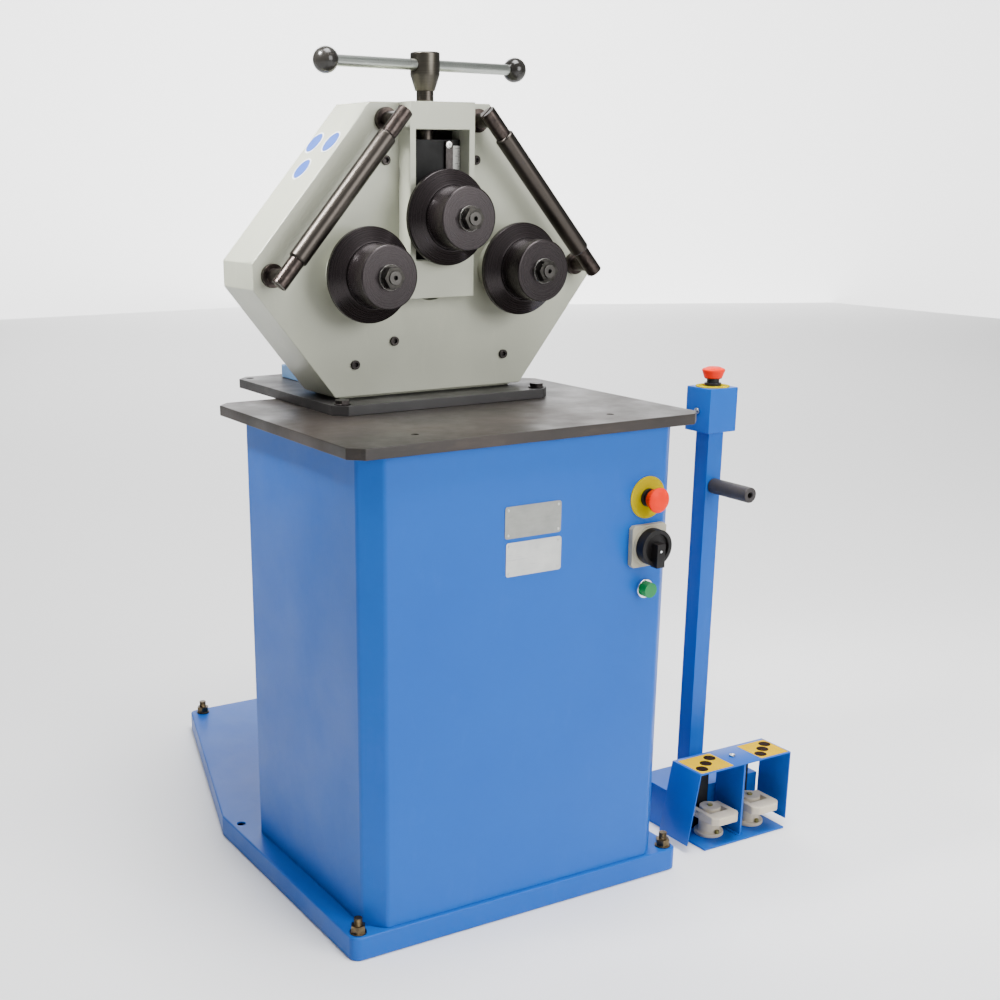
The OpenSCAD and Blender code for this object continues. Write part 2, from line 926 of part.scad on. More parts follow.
module fan_cover() {
    fan_front = head_back + reducer_body_len + motor_flange_t + motor_len;
    color([0.1, 0.1, 0.11])
        difference() {
            rod_y(0, pinion_z, fan_front, fan_front + fan_len, motor_d);
            rod_y(0, pinion_z, fan_front - over, fan_front + fan_len - fan_sheet, motor_d - 2 * fan_sheet);
            for (i = [0 : fan_slot_count - 1])
                translate([0, fan_front + fan_len - fan_sheet - over, pinion_z])
                    rotate([0, i * 360 / fan_slot_count, 0])
                        translate([-fan_slot_w / 2, 0, fan_slot_r])
                            cube([fan_slot_w, fan_sheet + 2 * over, fan_slot_len]);
        }
}

module roll_gear(x, turn) {
    difference() {
        translate([x, 0, lower_z])
            upright(gear_front, gear_back)
                polygon(gear_outline(gear_teeth, turn));
        rod_y(x, lower_z, gear_front - over, gear_back + over, journal_d);
    }
}

module left_gear() {
    color([0.45, 0.44, 0.43])
        roll_gear(-roll_x, left_gear_turn);
}

module right_gear() {
    color([0.45, 0.44, 0.43])
        roll_gear(roll_x, right_gear_turn);
}

module drive_pinion() {
    color([0.48, 0.47, 0.45]) {
        translate([0, 0, pinion_z])
            upright(gear_front, gear_back)
                polygon(gear_outline(pinion_teeth, 90));
        rod_y(0, pinion_z, gear_back, head_back - face_gap, pinion_boss_d);
        rod_y(0, pinion_z, head_back - face_gap, head_back + pinion_seat, pinion_shaft_d);
    }
}

// Rolls

module shaft(x, z, bearing_front, bearing_back) {
    color([0.42, 0.4, 0.39])
        difference() {
            union() {
                rod_y(x, z, thread_front, roll_front, thread_d);
                rod_y(x, z, roll_front, roll_back, seat_d);
                rod_y(x, z, roll_back, bearing_front - face_gap, collar_d);
                rod_y(x, z, bearing_front - face_gap, bearing_back, journal_d);
            }
            rod_y(x, z, thread_front - over, thread_front + centre_hole_depth, centre_hole_d);
        }
}

module left_shaft() {
    shaft(-roll_x, lower_z, head_front - bearing_t, head_back);
}

module right_shaft() {
    shaft(roll_x, lower_z, head_front - bearing_t, head_back);
}

module top_shaft() {
    shaft(0, top_z, slide_front, slide_back + face_gap);
    color([0.42, 0.4, 0.39])
        rod_y(0, top_z, slide_back + face_gap, slide_back + back_collar_t, collar_d);
}

module roll(x, z) {
    color([0.24, 0.2, 0.2])
        translate([x, roll_front, z])
            rotate([-90, 0, 0])
                rotate_extrude()
                    polygon(roll_profile);
}

module left_roll() {
    roll(-roll_x, lower_z);
}

module right_roll() {
    roll(roll_x, lower_z);
}

module top_roll() {
    roll(0, top_z);
}

module fasteners(x, z) {
    nut_back = roll_front - roll_washer_t;
    color([0.5, 0.49, 0.48])
        difference() {
            union() {
                rod_y(x, z, nut_back, roll_front, roll_washer_d);
                hex_y(x, z, nut_back - roll_nut_t, nut_back, roll_nut_af);
            }
            rod_y(x, z, thread_front, roll_front + over, thread_d);
        }
}

module left_fasteners() {
    fasteners(-roll_x, lower_z);
}

module right_fasteners() {
    fasteners(roll_x, lower_z);
}

module top_fasteners() {
    fasteners(0, top_z);
}

// Slide and handle

module slide_block() {
    color([0.1, 0.1, 0.11])
        difference() {
            union() {
                translate([-slide_w / 2, slide_front, slide_bottom + slide_w / 2])
                    cube([slide_w, slide_depth, slide_h - slide_w / 2]);
                rod_y(0, slide_bottom + slide_w / 2, slide_front, slide_back, slide_w);
            }
            rod_y(0, top_z, slide_front - over, slide_back + over, journal_d + 2 * fit_gap);
            translate([0, screw_y, screw_floor])
                cylinder(d = screw_d + 2 * fit_gap, h = slide_h);
        }
}

module slide_keeper() {
    color([0.16, 0.16, 0.17])
        translate([keeper_x - keeper_w / 2, slide_front - keeper_t, slide_top - keeper_top_gap - keeper_h])
            difference() {
                cube([keeper_w, keeper_t, keeper_h]);
                translate([-keeper_x + keeper_w / 2, 0, top_z - slide_top + keeper_top_gap + keeper_h])
                    rod_y(0, 0, -over, keeper_t + over, collar_d + 2 * face_gap);
            }
}

module scale_strip() {
    color([0.9, 0.9, 0.88])
        difference() {
            translate([scale_x, slide_front - scale_t, slide_top - scale_top_gap - scale_h])
                cube([scale_w, scale_t, scale_h]);
            rod_y(0, top_z, slide_front - scale_t - over, slide_front + over, collar_d + 2 * face_gap);
        }
}

module lead_screw() {
    color([0.5, 0.48, 0.46])
        translate([0, screw_y, 0]) {
            translate([0, 0, screw_tip])
                cylinder(d = screw_d, h = hub_bottom + hub_cone_h - screw_tip);
            translate([0, 0, head_top - head_wall - face_gap - screw_collar_t])
                cylinder(d = screw_collar_d, h = screw_collar_t);
        }
}

module handle_hub() {
    color([0.34, 0.31, 0.29])
        difference() {
            translate([0, screw_y, hub_bottom])
                rotate_extrude()
                    polygon([
                        [screw_d / 2, 0],
                        [hub_neck_d / 2, 0],
                        [hub_d / 2, hub_cone_h],
                        [hub_d / 2, hub_h - hub_chamfer],
                        [hub_d / 2 - hub_chamfer, hub_h],
                        [0, hub_h],
                        [0, hub_cone_h],
                        [screw_d / 2, hub_cone_h]
                    ]);
            bar_rod(fit_gap);
        }
}

module bar_rod(gap) {
    translate([0, screw_y, bar_z])
        rotate([0, 90, handle_turn])
            cylinder(d = bar_d + 2 * gap, h = ball_span + 2 * gap, center = true);
}

module handle_bar() {
    color([0.68, 0.67, 0.64])
        bar_rod(0);
}

module ball_knobs() {
    color([0.08, 0.07, 0.07])
        translate([0, screw_y, bar_z])
            for (turn = [0, 180])
                rotate([0, 90, handle_turn + turn])
                    translate([0, 0, ball_span / 2])
                        difference() {
                            sphere(d = ball_d);
                            translate([0, 0, -ball_d])
                                cylinder(d = bar_d + 2 * fit_gap, h = ball_d + fit_gap);
                        }
}

// Guides

module along_guide(side, s) {
    translate(guide_point(side, s))
        rotate([0, side * (180 - guide_angle), 0])
            children();
}

module guide_posts() {
    color([0.36, 0.33, 0.32])
        for (side = [-1, 1])
            for (s = [post_inset, guide_len - post_inset])
                difference() {
                    union() {
                        rod_y(guide_point(side, s).x, guide_point(side, s).z, guide_y, head_front, post_d);
                        rod_y(
                            guide_point(side, s).x, guide_point(side, s).z,
                            head_front - post_flange_t, head_front, post_flange_d
                        );
                    }
                    along_guide(side, 0)
                        cylinder(d = guide_stub_d, h = guide_len);
                }
}

module guide_rods() {
    color([0.34, 0.31, 0.3])
        for (side = [-1, 1])
            along_guide(side, 0)
                difference() {
                    union() {
                        cylinder(d = guide_stub_d, h = stub_len);
                        cylinder(d = guide_core_d, h = guide_len);
                        translate([0, 0, guide_len - stub_len])
                            cylinder(d = guide_stub_d, h = stub_len);
                    }
                    for (z = [guide_slot_depth / 2, guide_len - guide_slot_depth / 2])
                        translate([0, 0, z])
                            cube(
                                [guide_stub_d + over, guide_slot_w, guide_slot_depth + face_gap],
                                center = true
                            );
                }
}

module sleeve(side) {
    color([0.27, 0.22, 0.21])
        along_guide(side, stub_len + face_gap)
            rotate_extrude()
                polygon([
                    [guide_core_d / 2 + fit_gap, 0],
                    [sleeve_d / 2 - sleeve_chamfer, 0],
                    [sleeve_d / 2, sleeve_chamfer],
                    [sleeve_d / 2, sleeve_len - 2 * face_gap - sleeve_chamfer],
                    [sleeve_d / 2 - sleeve_chamfer, sleeve_len - 2 * face_gap],
                    [guide_core_d / 2 + fit_gap, sleeve_len - 2 * face_gap]
                ]);
}

module left_sleeve() {
    sleeve(-1);
}

module right_sleeve() {
    sleeve(1);
}

// Controls

module on_cabinet(z) {
    translate([control_x, cabinet_front, z])
        rotate([90, 0, 0])
            children();
}

module on_console() {
    translate([console_x, column_y, console_box_top])
        children();
}

module ring(d) {
    difference() {
        cylinder(d = d, h = ring_t);
        translate([0, 0, -over])
            cylinder(d = stop_barrel_d, h = ring_t + 2 * over);
    }
}

module stop_rings() {
    color([0.95, 0.78, 0.1]) {
        on_cabinet(stop_z)
            ring(stop_ring_d);
        on_console()
            ring(console_ring_d);
    }
}

module stop_collar() {
    difference() {
        union() {
            translate([0, 0, -stop_barrel_len])
                cylinder(d = stop_barrel_d, h = stop_barrel_len + ring_t);
            translate([0, 0, ring_t])
                cylinder(d = stop_collar_d, h = stop_collar_t - ring_t);
        }
        translate([0, 0, -stop_barrel_len - over])
            cylinder(d = stop_stem_d + 2 * fit_gap, h = stop_barrel_len + stop_collar_t + 2 * over);
    }
}

module stop_collars() {
    color([0.12, 0.1, 0.1]) {
        on_cabinet(stop_z)
            stop_collar();
        on_console()
            stop_collar();
    }
}

module stop_button() {
    color([0.94, 0.36, 0.16])
        rotate_extrude()
            polygon(stop_profile);
}

module front_stop_button() {
    on_cabinet(stop_z)
        stop_button();
}

module console_stop_button() {
    on_console()
        stop_button();
}

module switch_plate() {
    color([0.87, 0.83, 0.72])
        on_cabinet(switch_z)
            difference() {
                union() {
                    linear_extrude(switch_t)
                        polygon(chamfered(switch_w, -switch_w / 2, switch_w / 2, switch_chamfer));
                    translate([0, 0, switch_t])
                        cylinder(d = switch_bezel_d, h = switch_bezel_t);
                }
                translate([0, 0, -over])
                    cylinder(d = knob_stem_d + 2 * fit_gap, h = switch_t + switch_bezel_t + 2 * over);
            }
}

module switch_knob() {
    knob_back = switch_t + switch_bezel_t + face_gap;
    color([0.08, 0.08, 0.09])
        on_cabinet(switch_z) {
            cylinder(d = knob_stem_d, h = knob_back);
            difference() {
                translate([0, 0, knob_back])
                    cylinder(d = knob_d, h = knob_t);
                translate([0, 0, knob_back + knob_t - knob_dish_depth])
                    cylinder(d = knob_dish_d, h = knob_dish_depth + over);
            }
            translate([-pointer_w / 2, -pointer_len, knob_back + knob_t - knob_dish_depth])
                cube([pointer_w, pointer_len + pointer_w / 2, pointer_h + knob_dish_depth]);
        }
}

module lamp_bezel() {
    color([0.8, 0.8, 0.8])
        on_cabinet(lamp_z)
            difference() {
                union() {
                    cylinder(d = lamp_d, h = lamp_bezel_t);
                    translate([0, 0, -stop_barrel_len])
                        cylinder(d = stop_barrel_d, h = stop_barrel_len);
                }
                cylinder(d = lens_d, h = lamp_bezel_t + over);
            }
}

module lamp_lens() {
    color([0.1, 0.5, 0.25])
        on_cabinet(lamp_z) {
            cylinder(d = lens_d, h = lens_len);
            for (i = [1 : lens_rib_count])
                translate([0, 0, lamp_bezel_t + (i - 1) * 2 * lens_rib_t + lens_rib_t])
                    cylinder(d = lens_rib_d, h = lens_rib_t);
        }
}

// Console

module console_base() {
    color([0.3, 0.52, 0.79])
        difference() {
            translate([console_x - console_base_w / 2, console_base_front, 0])
                cube([console_base_w, console_base_depth, console_base_h]);
            translate([
                console_x - console_base_w / 2 + console_sheet,
                console_base_front + console_sheet,
                -over
            ])
                cube([
                    console_base_w - 2 * console_sheet,
                    console_base_depth - 2 * console_sheet,
                    console_base_h - console_sheet + over
                ]);
            rod_y(
                console_x, console_base_h / 2, console_base_back - console_sheet - over,
                console_base_back + over, gland_d
            );
        }
}

module console_column() {
    color([0.32, 0.54, 0.81])
        difference() {
            translate([console_x - column_w / 2, column_front, console_base_h])
                cube([column_w, column_w, column_top - console_base_h]);
            translate([
                console_x - column_w / 2 + column_wall,
                column_front + column_wall,
                console_base_h - over
            ])
                cube([
                    column_w - 2 * column_wall,
                    column_w - 2 * column_wall,
                    column_top - console_base_h + 2 * over
                ]);
        }
}

module console_box() {
    color([0.32, 0.54, 0.81])
        difference() {
            translate([console_x - console_box_w / 2, column_y - console_box_w / 2, column_top])
                cube([console_box_w, console_box_w, console_box_h]);
            translate([
                console_x - console_box_w / 2 + console_sheet,
                column_y - console_box_w / 2 + console_sheet,
                column_top + console_sheet
            ])
                cube([
                    console_box_w - 2 * console_sheet,
                    console_box_w - 2 * console_sheet,
                    console_box_h - 2 * console_sheet
                ]);
            on_console()
                translate([0, 0, -console_sheet - over])
                    cylinder(d = stop_barrel_d, h = console_sheet + 2 * over);
        }
}

module console_grip() {
    color([0.2, 0.19, 0.19])
        difference() {
            rod_y(console_x, grip_z, column_front - grip_len, column_front, grip_d);
            rod_y(
                console_x, grip_z, column_front - grip_len - over,
                column_front - grip_len + grip_hole_depth, grip_hole_d
            );
        }
}

module pedal_hood() {
    left = console_x - hood_w / 2;
    right = console_x + hood_w / 2;
    color([0.34, 0.53, 0.8]) {
        upright(hood_front, console_base_front)
            polygon([
                [left, hood_h],
                [left - hood_spread_w, hood_floor_h],
                [left - hood_spread_w + hood_sheet, hood_floor_h],
                [left + hood_sheet, hood_h - hood_sheet],
                [right - hood_sheet, hood_h - hood_sheet],
                [right - hood_sheet, hood_floor_h],
                [right, hood_floor_h],
                [right, hood_h]
            ]);
        translate([left + hood_sheet, console_base_front - hood_sheet, hood_h - hood_back_flange])
            cube([hood_w - 2 * hood_sheet, hood_sheet, hood_back_flange - hood_sheet]);
    }
}

module pedal_divider() {
    color([0.25, 0.42, 0.68]) {
        translate([console_x - divider_t / 2, divider_front, pedal_floor_t])
            cube([
                divider_t,
                console_base_front - hood_sheet - divider_front,
                hood_h - hood_sheet - pedal_floor_t
            ]);
        translate([console_x - divider_foot / 2, divider_front, pedal_floor_t])
            cube([divider_foot, console_base_front - divider_front, hood_sheet]);
    }
}

module pedal_floor() {
    color([0.3, 0.5, 0.77])
        translate([console_x - pedal_floor_w / 2, pedal_floor_front, 0])
            cube([pedal_floor_w, console_base_front - pedal_floor_front, pedal_floor_t]);
}

module pedal_bases() {
    color([0.83, 0.8, 0.72])
        for (side = [-1, 1])
            translate([pedal_x + side * pedal_offset, pedal_pivot_y, pedal_floor_t]) {
                cylinder(d = pedal_base_d, h = pedal_base_t);
                cylinder(d1 = pedal_flare_d, d2 = pedal_body_d, h = pedal_flare_h);
                cylinder(d = pedal_body_d, h = pedal_body_top - pedal_floor_t);
                translate([-pedal_w / 2, 0, pedal_axis_z - pedal_floor_t])
                    rotate([0, 90, 0])
                        cylinder(d = pedal_pin_d, h = pedal_w);
            }
}

module pedal_switches() {
    color([0.06, 0.06, 0.07])
        for (side = [-1, 1])
            translate([
                pedal_x + side * pedal_offset - pedal_switch_w / 2,
                console_base_front - pedal_switch_depth,
                pedal_floor_t
            ])
                cube([pedal_switch_w, pedal_switch_depth, pedal_switch_top - pedal_floor_t]);
}

module pedal(side) {
    color([0.86, 0.83, 0.75])
        translate([pedal_x + side * pedal_offset, 0, 0])
            difference() {
                translate([0, 0, pedal_z])
                    linear_extrude(pedal_t)
                        polygon([
                            [-pedal_w / 2 + pedal_chamfer, pedal_front],
                            [pedal_w / 2 - pedal_chamfer, pedal_front],
                            [pedal_w / 2, pedal_front + pedal_chamfer],
                            [pedal_w / 2, pedal_front + pedal_len],
                            [-pedal_w / 2, pedal_front + pedal_len],
                            [-pedal_w / 2, pedal_front + pedal_chamfer]
                        ]);
                translate([-pedal_body_d / 2 - pedal_slot_gap, pedal_slot_y, pedal_z - over])
                    cube([pedal_body_d + 2 * pedal_slot_gap, pedal_len, pedal_t + 2 * over]);
                translate([-pedal_w / 2 - over, pedal_pivot_y, pedal_axis_z])
                    rotate([0, 90, 0])
                        cylinder(d = pedal_pin_d + 2 * fit_gap, h = pedal_w + 2 * over);
            }
}

module left_pedal() {
    pedal(-1);
}

module right_pedal() {
    pedal(1);
}

base_pan();
anchor_studs();
cabinet_shell();
rear_panel();
cover_screws();
cable_glands();
table_plate();
head_plate();
head_plate_bolts();
head_housing();
head_back_plate();
slide_channel();
face_screws();
screw_bush();
bearing_housings();
gear_reducer();
drive_motor();
fan_cover();
guide_posts();
guide_rods();
left_sleeve();
right_sleeve();
left_shaft();
left_roll();
left_fasteners();
left_gear();
right_shaft();
right_roll();
right_fasteners();
right_gear();
top_shaft();
top_roll();
top_fasteners();
drive_pinion();
slide_block();
slide_keeper();
scale_strip();
lead_screw();
handle_hub();
handle_bar();
ball_knobs();
stop_rings();
stop_collars();
front_stop_button();
switch_plate();
switch_knob();
lamp_bezel();
lamp_lens();
console_base();
console_column();
console_box();
console_stop_button();
console_grip();
pedal_hood();
pedal_divider();
pedal_floor();
pedal_bases();
pedal_switches();
left_pedal();
right_pedal();
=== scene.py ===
import json
import math

import bpy
from mathutils import Matrix, Vector


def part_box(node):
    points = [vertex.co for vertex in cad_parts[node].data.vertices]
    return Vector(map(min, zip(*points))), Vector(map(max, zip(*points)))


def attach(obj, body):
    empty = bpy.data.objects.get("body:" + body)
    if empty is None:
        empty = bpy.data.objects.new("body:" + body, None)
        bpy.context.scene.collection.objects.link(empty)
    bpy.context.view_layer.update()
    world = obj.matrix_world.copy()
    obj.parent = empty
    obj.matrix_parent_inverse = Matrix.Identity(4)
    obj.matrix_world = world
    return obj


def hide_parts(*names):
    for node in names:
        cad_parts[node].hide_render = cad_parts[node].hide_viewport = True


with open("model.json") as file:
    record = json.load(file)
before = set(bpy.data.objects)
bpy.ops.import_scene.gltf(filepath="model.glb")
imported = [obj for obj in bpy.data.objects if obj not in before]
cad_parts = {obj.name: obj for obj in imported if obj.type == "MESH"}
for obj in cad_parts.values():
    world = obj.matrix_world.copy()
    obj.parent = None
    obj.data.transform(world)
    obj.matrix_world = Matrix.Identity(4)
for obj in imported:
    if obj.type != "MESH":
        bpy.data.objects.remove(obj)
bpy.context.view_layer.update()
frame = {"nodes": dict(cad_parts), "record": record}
nodes = frame["nodes"]

# The studio: a plain pale floor and a lit backdrop under soft lamps, and the camera at the
# photograph's angle. Floor and backdrop are no part of the machine.
pale = (0.95, 0.95, 0.95, 1.0)
white = (1.0, 1.0, 1.0, 1.0)

bpy.ops.object.select_all(action="DESELECT")
bpy.ops.mesh.primitive_plane_add(size=16.0, location=(0.0, 1.5, -0.0006))
floor = bpy.context.object
floor.name = "studio_floor"
floor_paint = bpy.data.materials.new("studio_floor")
floor_paint.use_nodes = True
floor_shader = floor_paint.node_tree.nodes["Principled BSDF"]
floor_shader.inputs["Base Color"].default_value = pale
floor_shader.inputs["Roughness"].default_value = 0.85
floor.data.materials.append(floor_paint)

bpy.ops.object.select_all(action="DESELECT")
bpy.ops.mesh.primitive_plane_add(
    size=10.0, location=(5.58, 8.54, -2.0), rotation=(math.pi / 2, 0.0, -0.5))
backdrop = bpy.context.object
backdrop.name = "studio_backdrop"
backdrop_paint = bpy.data.materials.new("studio_backdrop")
backdrop_paint.use_nodes = True
backdrop_shader = backdrop_paint.node_tree.nodes["Principled BSDF"]
backdrop_shader.inputs["Base Color"].default_value = pale
backdrop_shader.inputs["Emission Color"].default_value = white
backdrop_shader.inputs["Emission Strength"].default_value = 2.4
backdrop.data.materials.append(backdrop_paint)

world = bpy.data.worlds.new("studio")
world.use_nodes = True
world.node_tree.nodes["Background"].inputs["Color"].default_value = white
world.node_tree.nodes["Background"].inputs["Strength"].default_value = 0.26
bpy.context.scene.world = world

for lamp, seat, aim, size, power, beam in (
    ("key_lamp", (1.3, -3.6, 1.9), (0.0, 0.1, 0.7), 2.2, 165, 180),
    ("top_lamp", (0.2, -0.3, 4.2), (0.1, 0.3, 0.7), 2.0, 300, 180),
    ("slope_lamp", (-0.8, 0.33, 1.8), (-0.19, 0.33, 1.03), 0.3, 3.4, 40),
    ("far_lamp", (2.6, 5.6, 4.2), (2.6, 5.6, 0.0), 5.0, 380, 180),
):
    light = bpy.data.lights.new(lamp, "AREA")
    light.energy = power
    light.size = size
    light.spread = math.radians(beam)
    holder = bpy.data.objects.new(lamp, light)
    holder.location = seat
    holder.rotation_euler = (Vector(aim) - Vector(seat)).to_track_quat("-Z", "Y").to_euler()
    bpy.context.scene.collection.objects.link(holder)

yaw, pitch, roll = math.radians(29.3), math.radians(-17.64), math.radians(-0.32)
eye = Vector((-1.06805, -1.52475, 1.02547))
ahead = Vector((math.sin(yaw) * math.cos(pitch), math.cos(yaw) * math.cos(pitch), math.sin(pitch)))
level = Vector((math.cos(yaw), -math.sin(yaw), 0.0))
right = math.cos(roll) * level + math.sin(roll) * level.cross(ahead)
above = right.cross(ahead)
lens = bpy.data.cameras.new("photo_camera")
lens.sensor_width = 36.0
lens.lens = 51.24
lens.shift_x = 0.10403
lens.shift_y = 0.12763
lens.clip_end = 60.0
camera = bpy.data.objects.new("photo_camera", lens)
camera.matrix_world = Matrix((
    (right.x, above.x, -ahead.x, eye.x),
    (right.y, above.y, -ahead.y, eye.y),
    (right.z, above.z, -ahead.z, eye.z),
    (0.0, 0.0, 0.0, 1.0),
))
bpy.context.scene.collection.objects.link(camera)
bpy.context.scene.camera = camera

# The base pan is one steel sheet folded down on every side, with soft bends, welded corners and
# blue powder coat. It carries the cabinet and takes the floor anchors.
merge_gap = 0.00001
flat_angle = math.radians(0.5)
sharp_angle = math.radians(35)
smooth_angle = math.radians(40)


def pick(piece):
    bpy.ops.object.select_all(action="DESELECT")
    piece.select_set(True)
    bpy.context.view_layer.objects.active = piece


def take(node):
    """A merged copy of a CAD node, which stands for it once it has been shaped."""
    piece = bpy.data.objects.new(node + "_shown", nodes[node].data.copy())
    piece.data.materials.clear()
    bpy.context.scene.collection.objects.link(piece)
    pick(piece)
    bpy.ops.mesh.customdata_custom_splitnormals_clear()
    bpy.ops.object.mode_set(mode="EDIT")
    bpy.ops.mesh.select_all(action="SELECT")
    bpy.ops.mesh.remove_doubles(threshold=merge_gap)
    bpy.ops.mesh.dissolve_limited(angle_limit=flat_angle)
    bpy.ops.object.mode_set(mode="OBJECT")
    return piece


def ease(piece, width, segments=2, slide=True):
    """A small bevel on all sharp edges, and smooth shading between them."""
    pick(piece)
    bevel = piece.modifiers.new("eased", "BEVEL")
    bevel.width = width
    bevel.segments = segments
    bevel.limit_method = "ANGLE"
    bevel.angle_limit = sharp_angle
    bevel.use_clamp_overlap = False
    bevel.loop_slide = slide
    bpy.ops.object.modifier_apply(modifier=bevel.name)
    bpy.ops.object.shade_smooth_by_angle(angle=smooth_angle)
    even = piece.modifiers.new("even", "WEIGHTED_NORMAL")
    even.keep_sharp = True
    bpy.ops.object.modifier_apply(modifier=even.name)


def body_of(node):
    return next(b for b, held in frame["record"]["behaviour"]["bodies"].items() if node in held)


def coat(node, finish):
    """A CAD node keeps its mesh and takes a finish in its material slots."""
    if not nodes[node].material_slots:
        nodes[node].data.materials.append(finish)
    for place in nodes[node].material_slots:
        place.material = finish


def stands_for(piece, node, finish):
    """A shaped copy takes a finish and is shown in place of its CAD node."""
    coat(node, finish)
    piece.data.materials.clear()
    piece.data.materials.append(finish)
    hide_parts(node)
    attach(piece, body_of(node))


def dress(node, finish, width, segments=2, slide=True):
    """The usual way of a machined or folded part: a copy of the node with eased edges."""
    piece = take(node)
    ease(piece, width, segments, slide)
    stands_for(piece, node, finish)
    return piece


def hue(red, green, blue):
    """An sRGB colour of 0 to 255 as Blender's linear one."""
    return tuple(
        (c / 255 / 12.92 if c / 255 <= 0.04045 else ((c / 255 + 0.055) / 1.055) ** 2.4)
        for c in (red, green, blue)
    ) + (1.0,)


def effect(name, inputs, outputs):
    """An empty shader group with named sockets, and its two ends."""
    group = bpy.data.node_groups.new(name, "ShaderNodeTree")
    for label, kind, value in inputs:
        socket = group.interface.new_socket(label, in_out="INPUT", socket_type="NodeSocket" + kind)
        socket.default_value = value
    for label in outputs:
        group.interface.new_socket(label, in_out="OUTPUT", socket_type="NodeSocketFloat")
    return group, group.nodes.new("NodeGroupInput"), group.nodes.new("NodeGroupOutput")


def step(group, kind, operation, *sources):
    """Adds a calculation to a group, fed by the sources in turn, and gives its outputs."""
    node = group.nodes.new("ShaderNode" + kind)
    node.operation = operation
    for socket, source in zip(node.inputs, sources):
        group.links.new(source, socket)
    return node.outputs


def noise(group, detail, roughness, low, high):
    """Adds noise to a group, and the range node that spreads what lies between low and high."""
    cloud = group.nodes.new("ShaderNodeTexNoise")
    cloud.inputs["Scale"].default_value = 1.0
    cloud.inputs["Detail"].default_value = detail
    cloud.inputs["Roughness"].default_value = roughness
    spread = group.nodes.new("ShaderNodeMapRange")
    spread.inputs["From Min"].default_value = low
    spread.inputs["From Max"].default_value = high
    group.links.new(cloud.outputs["Fac"], spread.inputs["Value"])
    return cloud, spread


# Mottle: soft cloudy change between two values, for tone, gloss and smudges.
mottle, mottle_in, mottle_out = effect(
    "mottle", (("Size", "Float", 4.0), ("Low", "Float", 0.0), ("High", "Float", 1.0)), ("Value",))
place = mottle.nodes.new("ShaderNodeTexCoord").outputs["Object"]
cloud, spread = noise(mottle, detail=5.0, roughness=0.6, low=0.3, high=0.7)
mottle.links.new(place, cloud.inputs["Vector"])
mottle.links.new(mottle_in.outputs["Size"], cloud.inputs["Scale"])
mottle.links.new(mottle_in.outputs["Low"], spread.inputs["To Min"])
mottle.links.new(mottle_in.outputs["High"], spread.inputs["To Max"])
mottle.links.new(spread.outputs["Result"], mottle_out.inputs["Value"])

# Scuff: thin broken scratches, stretched along one direction.
scuff, scuff_in, scuff_out = effect(
    "scuff", (("Stretch", "Vector", (40.0, 40.0, 400.0)), ("Amount", "Float", 0.5)), ("Mask",))
place = scuff.nodes.new("ShaderNodeTexCoord").outputs["Object"]
pulled = step(scuff, "VectorMath", "MULTIPLY", place, scuff_in.outputs["Stretch"])["Vector"]
cloud, spread = noise(scuff, detail=6.0, roughness=0.7, low=0.58, high=0.7)
scuff.links.new(pulled, cloud.inputs["Vector"])
scuff.links.new(scuff_in.outputs["Amount"], spread.inputs["To Max"])
scuff.links.new(spread.outputs["Result"], scuff_out.inputs["Mask"])


class Finish:
    """A material under construction: its tree, its shader, and short ways to add nodes."""

    def __init__(self, name):
        self.material = bpy.data.materials.new(name)
        self.material.use_nodes = True
        self.tree = self.material.node_tree
        self.shader = self.tree.nodes["Principled BSDF"]

    def add(self, kind, **settings):
        node = self.tree.nodes.new(kind)
        for key, value in settings.items():
            setattr(node, key, value)
        return node

    def group(self, group, **values):
        node = self.add("ShaderNodeGroup", node_tree=group)
        for key, value in values.items():
            node.inputs[key].default_value = value
        return node

    def use(self, group, **values):
        return self.group(group, **values).outputs[0]

    def link(self, source, target):
        self.tree.links.new(source, target)

    def mix(self, mask, a, b):
        """Colour a where the mask is 0 and b where it is 1; each is a colour or an output."""
        node = self.add("ShaderNodeMix", data_type="RGBA")
        factor, first, second = node.inputs[0], node.inputs[6], node.inputs[7]
        self.link(mask, factor)
        for socket, value in ((first, a), (second, b)):
            if isinstance(value, tuple):
                socket.default_value = value
            else:
                self.link(value, socket)
        return node.outputs[2]

    def sum(self, a, b, operation="ADD"):
        node = self.add("ShaderNodeMath", operation=operation)
        for socket, value in ((node.inputs[0], a), (node.inputs[1], b)):
            if isinstance(value, (int, float)):
                socket.default_value = value
            else:
                self.link(value, socket)
        return node.outputs[0]

    def bump(self, height, depth, strength=1.0):
        node = self.add("ShaderNodeBump")
        node.inputs["Strength"].default_value = strength
        node.inputs["Distance"].default_value = depth
        self.link(height, node.inputs["Height"])
        self.link(node.outputs["Normal"], self.shader.inputs["Normal"])

    def colour(self, source):
        self.link(source, self.shader.inputs["Base Color"])

    def rough(self, source):
        self.link(source, self.shader.inputs["Roughness"])

    def plain(self, **values):
        for key, value in values.items():
            self.shader.inputs[key.replace("_", " ")].default_value = value


def powder_coat(name, light, dark, gloss, coat_weight, marks):
    """Sprayed and baked paint: a cloudy tone, orange peel, and finger marks in the gloss."""
    finish = Finish(name)
    tone = finish.use(mottle, Size=2.2, Low=0.0, High=1.0)
    shade = finish.mix(tone, light, dark)
    rubbed = finish.use(scuff, Stretch=(30.0, 30.0, 9.0), Amount=marks)
    paler = tuple(min(1.0, c * 1.2 + 0.02) for c in light[:3]) + (1.0,)
    finish.colour(finish.mix(rubbed, shade, paler))
    finish.rough(finish.use(mottle, Size=9.0, Low=gloss - 0.06, High=gloss + 0.1))
    finish.bump(finish.use(mottle, Size=420.0, Low=0.0, High=1.0), depth=0.00012, strength=0.35)
    finish.plain(Coat_Weight=coat_weight, Coat_Roughness=0.2, Specular_IOR_Level=0.2)
    return finish.material


